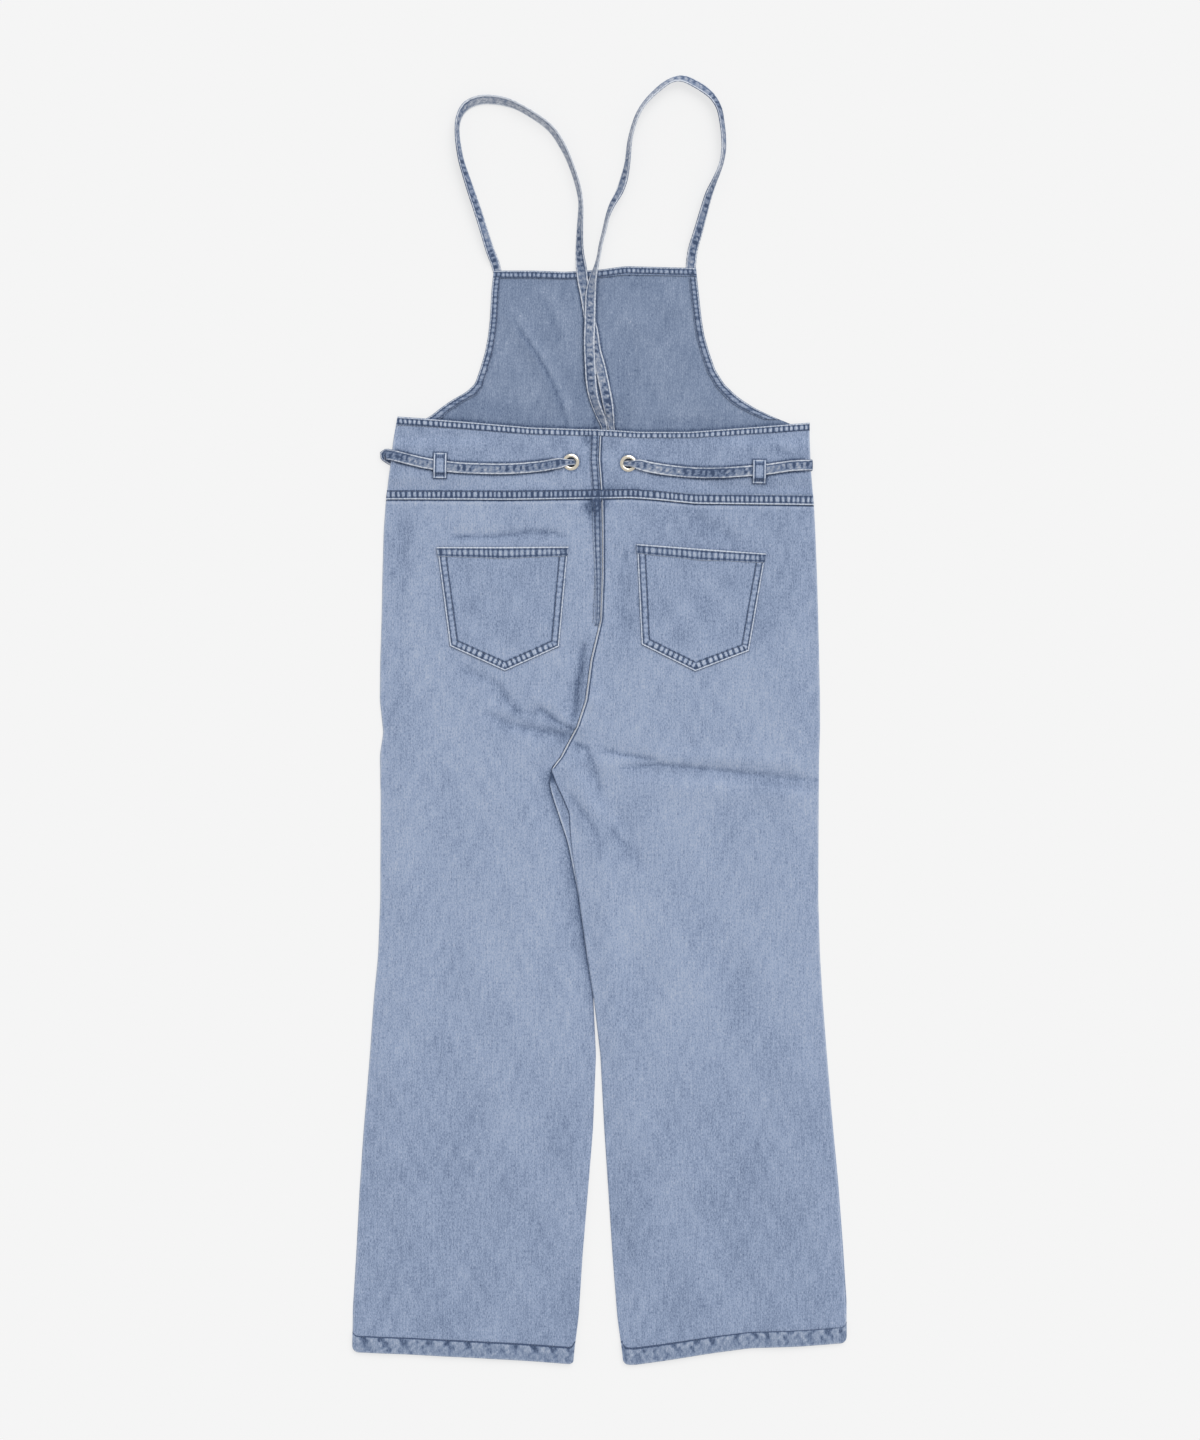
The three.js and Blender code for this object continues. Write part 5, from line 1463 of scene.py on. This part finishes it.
def make_belt_loop(half):
    shape = half["loop"]
    across = hem_spaced(shape["width"], STEP["loop"]) - shape["width"] / 2
    down = hem_spaced(shape["length"], STEP["loop"]) - shape["length"] / 2
    v, u = np.meshgrid(-down, across, indexing="ij")
    x, y = shape["x"] + u + LOOP_TILT * v, shape["y"] + v - LOOP_TILT * u
    from_edge = shape["width"] / 2 - np.abs(u)
    from_end = shape["length"] / 2 - np.abs(v)
    from_rim = np.minimum(from_edge, from_end)
    pucker = ripple(y, 5.0, LOOP_SEED)
    upper = loop_under(shape, half["top"], x, y) + WALL + 0.12 * pucker * smooth(from_edge / 3)
    sunk_row = 0.25 * bump(from_edge - 3, 0.8) * smooth((from_end - 2) / 2)
    upper = upper - rounded(from_rim, EDGE_ROUND) - sunk_row
    cross_row = bump(from_end - 5.6, 1.1) * smooth((from_edge - 2) / 1.5)
    end_patch = smooth((5 - from_end) / 1.5) * smooth(from_rim - 2)
    # A pale band inside the rim, a painted shadow along the rim itself, and the dark stitch row.
    tone = 1.2 * bump(from_rim - 1.2, 0.75) - 1.4 * bump(from_rim, 0.7) - 1.1 * bump(from_edge - 2.9, 0.8)
    tone = tone - (1.0 + 0.3 * np.sin(2.6 * u)) * cross_row - 0.5 * end_patch
    tone = tone + 0.12 * smooth((from_end - 7) / 2) - 0.12
    tone = tone - 0.15 * np.maximum(-pucker, 0) * smooth(from_edge / 3)
    cloth(f"belt_loop_{half['side']}", "denim", x, y, upper, tone, thickness=TRIM_SHELL)


def make_eyelet(half):
    (ex, ey), side = half["eyelet"], half["side"]
    turn = np.linspace(0, 2 * np.pi, EYELET_STEPS, endpoint=False)
    r, z = EYELET_PROFILE["r"], EYELET_PROFILE["z"]
    around, ring = np.meshgrid(turn, np.arange(len(r)), indexing="ij")
    x, y = ex + r[ring] * np.cos(around), ey + r[ring] * np.sin(around)
    points = np.stack([x, y, EYELET_MIDDLE + z[ring]], -1)
    cell = np.arange(ring.size).reshape(ring.shape)
    after, beside = np.roll(cell, -1, axis=0), np.roll(cell, -1, axis=1)
    faces = np.stack([cell, after, np.roll(after, -1, axis=1), beside], -1).reshape(-1, 4)
    piece = new_object(f"ring_eyelet_{side}", points.reshape(-1, 3), faces[:, ::-1])
    piece.data.materials.append(metal_material)
    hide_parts(f"eyelet_{side}")


def lying(rest, lean, width):
    """Height of a strap's middle where it lies on something and leans by some degrees."""
    angle = np.radians(lean)
    return rest + np.sin(angle) * width / 2 + np.cos(angle) * STRAP_WALL / 2


def stations(x, y, z, lean, width, tone=0.0):
    return np.stack(np.broadcast_arrays(x, y, z, lean, width, tone), -1).astype(float)


def strap_route(shown, behind, eyelet, heading, tie_shown, tie_fold, top):
    """All points of a strap and its tie as x, y, z, lean, width and tone."""
    rest = lying(shown["rest"], shown["lean"], shown["width"])
    through = THROUGH_EYELET
    through_x = eyelet[0] + heading * through["along"]
    through_y = eyelet[1] - np.maximum(through["along"], 0) * TIE_SLOPE
    tie_height = under_tie(top, tie_shown["x"], tie_shown["y"]) + SOFT_GAP + STRAP_WALL / 2
    return np.concatenate([
        stations(shown["x"], shown["y"], rest, shown["lean"], shown["width"], shown["tone"]),
        stations(behind["x"], behind["y"], lying(ON_BIB, 0, 0), 0, behind["width"]),
        stations(through_x, through_y, EYELET_MIDDLE + through["rise"], 0, through["width"]),
        stations(tie_shown["x"], tie_shown["y"], tie_height, 0, STRAP_WIDTH, tie_shown["tone"]),
        stations(tie_fold["x"], tie_fold["y"], tie_fold["z"], 0, STRAP_WIDTH, TIE_FOLD_TONE),
    ])


def curve_through(route, step):
    """Close stations along a smooth curve in plan through a route's points."""
    first, last = 2 * route[0] - route[1], 2 * route[-1] - route[-2]
    points = np.vstack([first, route, last])
    close = []
    for i in range(1, len(points) - 2):
        p0, p1, p2, p3 = points[i - 1:i + 3]
        d0, d1, d2 = (max(np.hypot(*(b - a)[:2]) ** 0.5, 1e-3) for a, b in ((p0, p1), (p1, p2), (p2, p3)))
        t1 = ((p1 - p0) / d0 - (p2 - p0) / (d0 + d1) + (p2 - p1) / d1) * d1
        t2 = ((p2 - p1) / d1 - (p3 - p1) / (d1 + d2) + (p3 - p2) / d2) * d1
        reach = math.sqrt(((p2 - p1)[:3] ** 2).sum())
        for share in np.arange(0, 1, step / max(reach, step)):
            place = p1 + t1 * share + (3 * (p2 - p1) - 2 * t1 - t2) * share**2
            place = place + (2 * (p1 - p2) + t1 + t2) * share**3
            close.append([place[0], place[1], *lerp(p1, p2, share)[2:]])
    close.append(route[-1])
    return np.array(close)


def evenly(close, step):
    """Stations resampled at an even spacing, and softened."""
    gaps = np.linalg.norm(np.diff(close[:, :3], axis=0), axis=1)
    length = np.concatenate([[0], np.cumsum(gaps)])
    at = np.linspace(0, length[-1], int(length[-1] / step) + 1)
    even = np.stack([np.interp(at, length, values) for values in close.T], -1)
    weights = np.hanning(9)[1:-1]
    weights = weights / weights.sum()
    for i in range(even.shape[1]):
        padded = np.concatenate([np.full(3, even[0, i]), even[:, i], np.full(3, even[-1, i])])
        even[:, i] = np.convolve(padded, weights, "valid")
    return at, even


def strap_frames(even):
    """Directions across and up for each station of a strap."""
    along = np.gradient(even[:, :3], axis=0)
    along = along / np.linalg.norm(along, axis=1)[:, None]
    across = np.zeros_like(along)
    side = np.array([1.0, 0, 0])
    for i, direction in enumerate(along):
        level = np.array([direction[1], -direction[0], 0])
        if np.linalg.norm(level) < 0.5:
            level = side - direction * (side @ direction)
        level = level / np.linalg.norm(level)
        side = -level if i and level @ side < 0 else level
        across[i] = side
    lean = np.radians(even[:, 3])[:, None]
    up = np.cross(along, across)
    return across * np.cos(lean) + up * np.sin(lean), up * np.cos(lean) - across * np.sin(lean)


def strap_surface(at, even, seed, stitched_side):
    """Points, tones and places on the cloth round a soft flat tube along a strap."""
    across, up = strap_frames(even)
    at, route_tone = at[:, None], even[:, 5:6]
    u = np.concatenate([STRAP_SECTION, STRAP_SECTION[-2:0:-1]])
    face = np.concatenate([np.ones(len(STRAP_SECTION)), -np.ones(len(STRAP_SECTION) - 2)])
    pucker = 0.65 * ripple(at, 7.2, seed) + 0.5 * waves(3.5 * u, at, 12, 8, seed + 5)
    middle = np.clip(1 - np.abs(u / STITCHED_AT) ** 3, 0, 1)
    full = (1 - np.abs(u) ** 6) ** 0.5
    row = bump(u * stitched_side - STITCHED_AT, 0.09)
    rise = STRAP_WALL / 2 * full * (0.95 + 0.16 * bump(np.abs(u) - 0.86, 0.1) - 0.22 * row)
    height = face * np.maximum(rise, 0.02) + 0.2 * pucker * middle * (face > 0)
    wavy = 0.15 * ripple(at, 5.1, seed + 1) * (np.abs(u) > 0.9)
    wide = u * even[:, 4:5] / 2 + wavy
    points = even[:, None, :3] + across[:, None, :] * wide[:, :, None] + up[:, None, :] * height[:, :, None]
    points[:, :, 2] = np.maximum(points[:, :, 2], FLOOR_CLEAR)
    worn = 0.9 + 0.25 * ripple(at, 4.3, seed + 2)
    # The outline is a painted shadow along both edges of the strap, weaker where the strap is paler.
    outline = 1.2 - 1.5 * np.clip(route_tone + 0.2, 0, 1)
    patchy = np.clip(0.75 + 0.4 * ripple(at, 61, seed + 7), 0.3, 1)
    marked = patchy * (1 - 0.75 * np.clip(route_tone, 0, 1))
    tone = 1.45 * worn * bump(np.abs(u) - 0.84, 0.1) - outline * bump(np.abs(u) - 1, 0.055)
    tone = tone - 1.15 * row * (1 + 0.2 * pucker)
    tone = tone + (0.25 - 1.6 * smooth((0.2 - pucker) / 0.8) * marked) * middle
    tone = tone + 0.22 * waves(7 * u, at, 5, 6, seed + 9) + STRAP_TONE_SHARE * route_tone + STRAP_TONE
    around = np.cumsum(np.concatenate([[0], np.abs(np.diff(u))])) * STRAP_WIDTH / 2
    uvs = np.stack(np.broadcast_arrays(around[None, :], at + seed * STRAP_WARP_APART), -1)
    return points, tone, uvs


def inner_skin(outer, even, pick):
    """The inner skin of a strap's tube, at a few of its stations."""
    middle = even[pick, None, :3]
    outward = outer[pick] - middle
    reach = np.maximum(np.linalg.norm(outward, axis=2, keepdims=True), 1e-6)
    return middle + outward * np.maximum(1 - STRAP_SKIN / reach, 0.2)


def make_strap(name, route, stitched_side):
    """A strap with its tie, as a hollow flat tube. Gives its even stations."""
    at, even = evenly(curve_through(route, CURVE_STEP), STRAP_STEP)
    outer, tone, uvs = strap_surface(at, even, SEEDS[name], stitched_side)
    pick = np.unique(np.append(np.arange(0, len(at), INNER_EVERY), len(at) - 1))
    inner = inner_skin(outer, even, pick)
    count, around = outer.shape[:2]
    cell = np.arange(count * around).reshape(count, around)
    core = cell.size + np.arange(len(pick) * around).reshape(len(pick), around)
    ahead, core_ahead = np.roll(cell, -1, axis=1), np.roll(core, -1, axis=1)
    quads = np.stack([cell[:-1], ahead[:-1], ahead[1:], cell[1:]], -1).reshape(-1, 4)
    core_quads = np.stack([core[:-1], core[1:], core_ahead[1:], core_ahead[:-1]], -1).reshape(-1, 4)
    starts = np.stack([cell[0], core[0], core_ahead[0], ahead[0]], -1)
    ends = np.stack([cell[-1], ahead[-1], core_ahead[-1], core[-1]], -1)
    points = np.concatenate([outer.reshape(-1, 3), inner.reshape(-1, 3)])
    all_uvs = np.concatenate([uvs.reshape(-1, 2), uvs[pick].reshape(-1, 2)])
    tones = np.concatenate([tone.ravel(), tone[pick].ravel()])
    faces = np.concatenate([quads, core_quads, starts, ends])
    dress(new_object(f"cloth_{name}", points, faces, all_uvs, tones), "denim_strap", name)
    return even


def make_straps():
    """Both straps, which cross: each goes on as the tie of the other side. Gives their even stations."""
    left = strap_route(
        LEFT_STRAP_SHOWN, LEFT_STRAP_BEHIND, EYELET_RIGHT, 1, TIE_RIGHT_SHOWN, TIE_RIGHT_FOLD, right_top,
    )
    right = strap_route(
        RIGHT_STRAP_SHOWN, RIGHT_STRAP_BEHIND, EYELET_LEFT, -1, TIE_LEFT_SHOWN, TIE_LEFT_FOLD, left_top,
    )
    return {
        "strap_left": make_strap("strap_left", left, -1),
        "strap_right": make_strap("strap_right", right, 1),
    }


def stitches_along(line):
    """Points of the stitches in one row, by stitch, ring and corner."""
    turn = 2 * np.pi * np.arange(STITCH_SIDES) / STITCH_SIDES
    length = np.concatenate([[0], np.cumsum(np.linalg.norm(np.diff(line, axis=0), axis=1))])
    begins = np.arange(0.3, length[-1] - STITCH, STITCH + STITCH_GAP)
    where = begins[:, None] + STITCH * STITCH_RINGS["share"]
    middle = np.stack([np.interp(where, length, line[:, i]) for i in range(3)], -1)
    along = middle[:, -1] - middle[:, 0]
    along = along / np.linalg.norm(along, axis=1)[:, None]
    across = np.stack([along[:, 1], -along[:, 0], np.zeros(len(along))], -1)
    across = across / np.maximum(np.linalg.norm(across, axis=1)[:, None], 1e-6)
    up = np.cross(across, along)
    centre = middle + up[:, None, :] * STITCH_RINGS["rise"][:, None]
    ring = across[:, None, None, :] * np.cos(turn)[:, None] + up[:, None, None, :] * np.sin(turn)[:, None]
    points = centre[:, :, None, :] + THREAD_RADIUS * STITCH_RINGS["size"][:, None, None] * ring
    points[..., 2] = np.maximum(points[..., 2], FLOOR_CLEAR)
    return points


def stitched(name, lines):
    """Rows of stitches as one piece. Each line is an array of points on the cloth."""
    points, faces, start = [], [], 0
    for line in lines:
        corners = stitches_along(line)
        cell = start + np.arange(corners.size // 3).reshape(corners.shape[:3])
        ahead = np.roll(cell, -1, axis=2)
        walls = np.stack([cell[:, :-1], ahead[:, :-1], ahead[:, 1:], cell[:, 1:]], -1)
        points.append(corners.reshape(-1, 3))
        faces.extend([walls.reshape(-1, 4), cell[:, 0, ::-1], cell[:, -1]])
        start += cell.size
    piece = new_object(name, np.concatenate(points), np.concatenate(faces), sharp=False)
    piece.data.materials.append(thread_material)


def on(top, x, y, rise):
    return np.stack([x, y, top(x, y) + rise], -1)


def across_panel(panel, top, level, rise):
    """A row of stitches across a panel at one level."""
    x, y = (line[0] for line in places(panel, np.array([level]), np.linspace(*PANEL_ROW)))
    return on(top, x, y, rise)


def beside_seam(y, inset):
    """A row of stitches down the middle of the back, beside its seam."""
    return on(left_top, left_inner(y) - inset, y, STITCH_LIFT)


def inset_outline(outline, inset):
    """An open outline moved inward, with its corners kept."""
    points = np.array(outline, float)
    centre = points.mean(axis=0)
    lines = []
    for a, b in zip(points, points[1:]):
        along = (b - a) / np.linalg.norm(b - a)
        normal = np.array([-along[1], along[0]])
        normal = normal if normal @ (centre - a) > 0 else -normal
        lines.append((a + normal * inset, along))
    moved = [lines[0][0]]
    for (p, u), (q, v) in zip(lines, lines[1:]):
        share = np.linalg.solve(np.stack([u, -v], -1), q - p)[0]
        moved.append(p + u * share)
    moved.append(lines[-1][0] + points[-1] - points[-2])
    return np.array(moved)


def pocket_lines(shape, top):
    """The rows of stitches round a pocket, then those across its mouth."""
    lines = []
    for inset in STITCHES["pocket"]:
        corners = inset_outline(pocket_outline(shape), inset)
        for a, b in zip(corners, corners[1:]):
            count = max(int(np.linalg.norm(b - a) / POCKET_ROW_STEP), 2)
            x, y = np.linspace(a, b, count).T
            lines.append(on(top, x, y, POCKET_LIFT))
    for depth, sunk in zip(STITCHES["pocket_hem"], (0, MOUTH_SUNK)):
        share = depth / pocket_height(shape)
        x, y = (line[0] for line in pocket_places(shape, np.array([share]), np.linspace(*MOUTH_ROW)))
        lines.append(on(top, x, y, GAP + WALL + STITCH_LIFT - sunk))
    return lines


def make_stitches():
    band, legs, bib, pockets = [], [], [], []
    for half in HALVES:
        panel, top = half["band"], half["top"]
        for depth, sunk in zip(STITCHES["band_top_hem"], (0, BAND_HEM_SUNK)):
            band.append(across_panel(panel, top, BAND_TOP_Y - depth, STITCH_LIFT - sunk))
        for depth in STITCHES["waist_seam"]:
            band.append(across_panel(panel, top, WAIST_Y + depth, STITCH_LIFT))
    y = np.linspace(*CENTRE_ROW)
    band.extend(beside_seam(y, inset) for inset in STITCHES["band_centre_seam"])
    y = np.linspace(*SEAT_ROW)
    legs.extend(beside_seam(y, inset) for inset in STITCHES["seat_seam"])
    legs.extend(across_panel(half["leg"], half["top"], HEM_Y + LEG_HEM_ROW, LEG_HEM_LIFT) for half in HALVES)
    x = np.linspace(*BIB_TOP_ROW)
    bib.extend(on(bib_inside, x, bib_top(x) - depth, STITCH_LIFT) for depth in STITCHES["bib_hem"])
    y = np.linspace(*BIB_SIDE_ROW)
    for half in HALVES:
        edge = half["bib_edge"]
        inward = half["inward"] * np.minimum(steepness(edge, y), BIB_HEM_SPREAD)
        bib.extend(on(bib_inside, edge(y) + depth * inward, y, STITCH_LIFT) for depth in STITCHES["bib_hem"])
    for half in HALVES:
        pockets.extend(pocket_lines(half["pocket"], half["top"]))
    for name, lines in (("band", band), ("legs", legs), ("bib", bib), ("pockets", pockets)):
        stitched(f"stitches_{name}", lines)


def make_strap_stitches(straps):
    lines = []
    for even in straps.values():
        across, up = strap_frames(even)
        for side in (-STITCHED_AT, STITCHED_AT):
            rise = up * STRAP_WALL / 2 * STRAP_STITCH_RISE
            lines.append(even[:, :3] + across * (even[:, 4:5] / 2 * side) + rise)
    stitched("stitches_straps", lines)


def declare_panel(name, panel, rests_on, *with_pieces):
    """Works out a panel's left and right edges at each level, which nothing keeps."""
    levels = np.arange(panel["low"], panel["high"] + 1)
    left, right = panel["left"](levels), panel["right"](levels)


def declare_cloth():
    declare_panel("front_leg_left", FRONT_LEFT, ["floor"])
    declare_panel("front_leg_right", FRONT_RIGHT, ["floor", "cloth_back_leg_left"])
    declare_panel("back_leg_left", BACK_LEFT, ["cloth_front_leg_left"], "stitches_legs")
    declare_panel("back_leg_right", BACK_RIGHT, ["cloth_front_leg_right"])
    declare_panel("bib", BIB_PANEL, ["floor"], "stitches_bib")
    declare_panel("back_band_left", BAND_LEFT, ["cloth_bib"], "ring_eyelet_left", "stitches_band")
    declare_panel("back_band_right", BAND_RIGHT, ["cloth_bib"], "ring_eyelet_right")
    length = WAIST_Y - SEAT_SEAM_END_Y
    length = BAND_TOP_Y - BAND_HEM - WAIST_Y - WAIST_STRIP
    levels = np.arange(BIB_HEM_END_Y, BIB_TOP_Y - BIB_HEM + 1)
    for half in HALVES:
        length = np.hypot(np.diff(half["bib_edge"](levels)), 1).sum()


def add_key_light():
    data = bpy.data.lights.new("key", "SUN")
    data.energy = KEY_STRENGTH
    data.angle = math.radians(KEY_ANGLE)
    light = bpy.data.objects.new("key", data)
    light.rotation_euler = [math.radians(turn) for turn in KEY_TURN]
    bpy.context.scene.collection.objects.link(light)


def add_camera():
    data = bpy.data.cameras.new("camera")
    data.lens = LENS
    data.sensor_width = SENSOR
    data.sensor_fit = "AUTO"
    data.clip_end = CLIP_END * MM
    camera = bpy.data.objects.new("camera", data)
    height = FRAME_HEIGHT * LENS / SENSOR
    camera.location = (FRAME_CENTRE[0] * MM, FRAME_CENTRE[1] * MM, height * MM)
    bpy.context.scene.collection.objects.link(camera)
    bpy.context.scene.camera = camera


def add_floor():
    """A plain pale floor just below the garment."""
    mesh = bpy.data.meshes.new("floor")
    half = FLOOR_HALF * MM
    corners = [(x * half, y * half, FLOOR_Z * MM) for x, y in ((-1, -1), (1, -1), (1, 1), (-1, 1))]
    mesh.from_pydata(corners, [], [(0, 1, 2, 3)])
    floor = bpy.data.objects.new("floor", mesh)
    bpy.context.scene.collection.objects.link(floor)
    material = bpy.data.materials.new("floor")
    material.use_nodes = True
    shader = material.node_tree.nodes["Principled BSDF"]
    shader.inputs["Base Color"].default_value = (FLOOR_BASE, FLOOR_BASE, FLOOR_BASE, 1)
    shader.inputs["Emission Color"].default_value = (1, 1, 1, 1)
    shader.inputs["Emission Strength"].default_value = FLOOR_GLOW
    shader.inputs["Roughness"].default_value = 1.0
    shader.inputs["Specular IOR Level"].default_value = 0.0
    mesh.materials.append(material)


def add_world():
    world = bpy.data.worlds.new("studio")
    world.use_nodes = True
    background = world.node_tree.nodes["Background"]
    background.inputs["Color"].default_value = (1, 1, 1, 1)
    background.inputs["Strength"].default_value = STUDIO_STRENGTH
    bpy.context.scene.world = world


make_back_legs()
make_front_legs()
make_leg_hems()
make_seat_seam()
make_bib()
make_band()
for make in (make_pocket, make_belt_loop, make_eyelet):
    for half in HALVES:
        make(half)
straps = make_straps()
make_stitches()
make_strap_stitches(straps)
add_floor()

declare_cloth()

add_camera()
add_world()
add_key_light()
bpy.context.scene.view_settings.view_transform = "Standard"
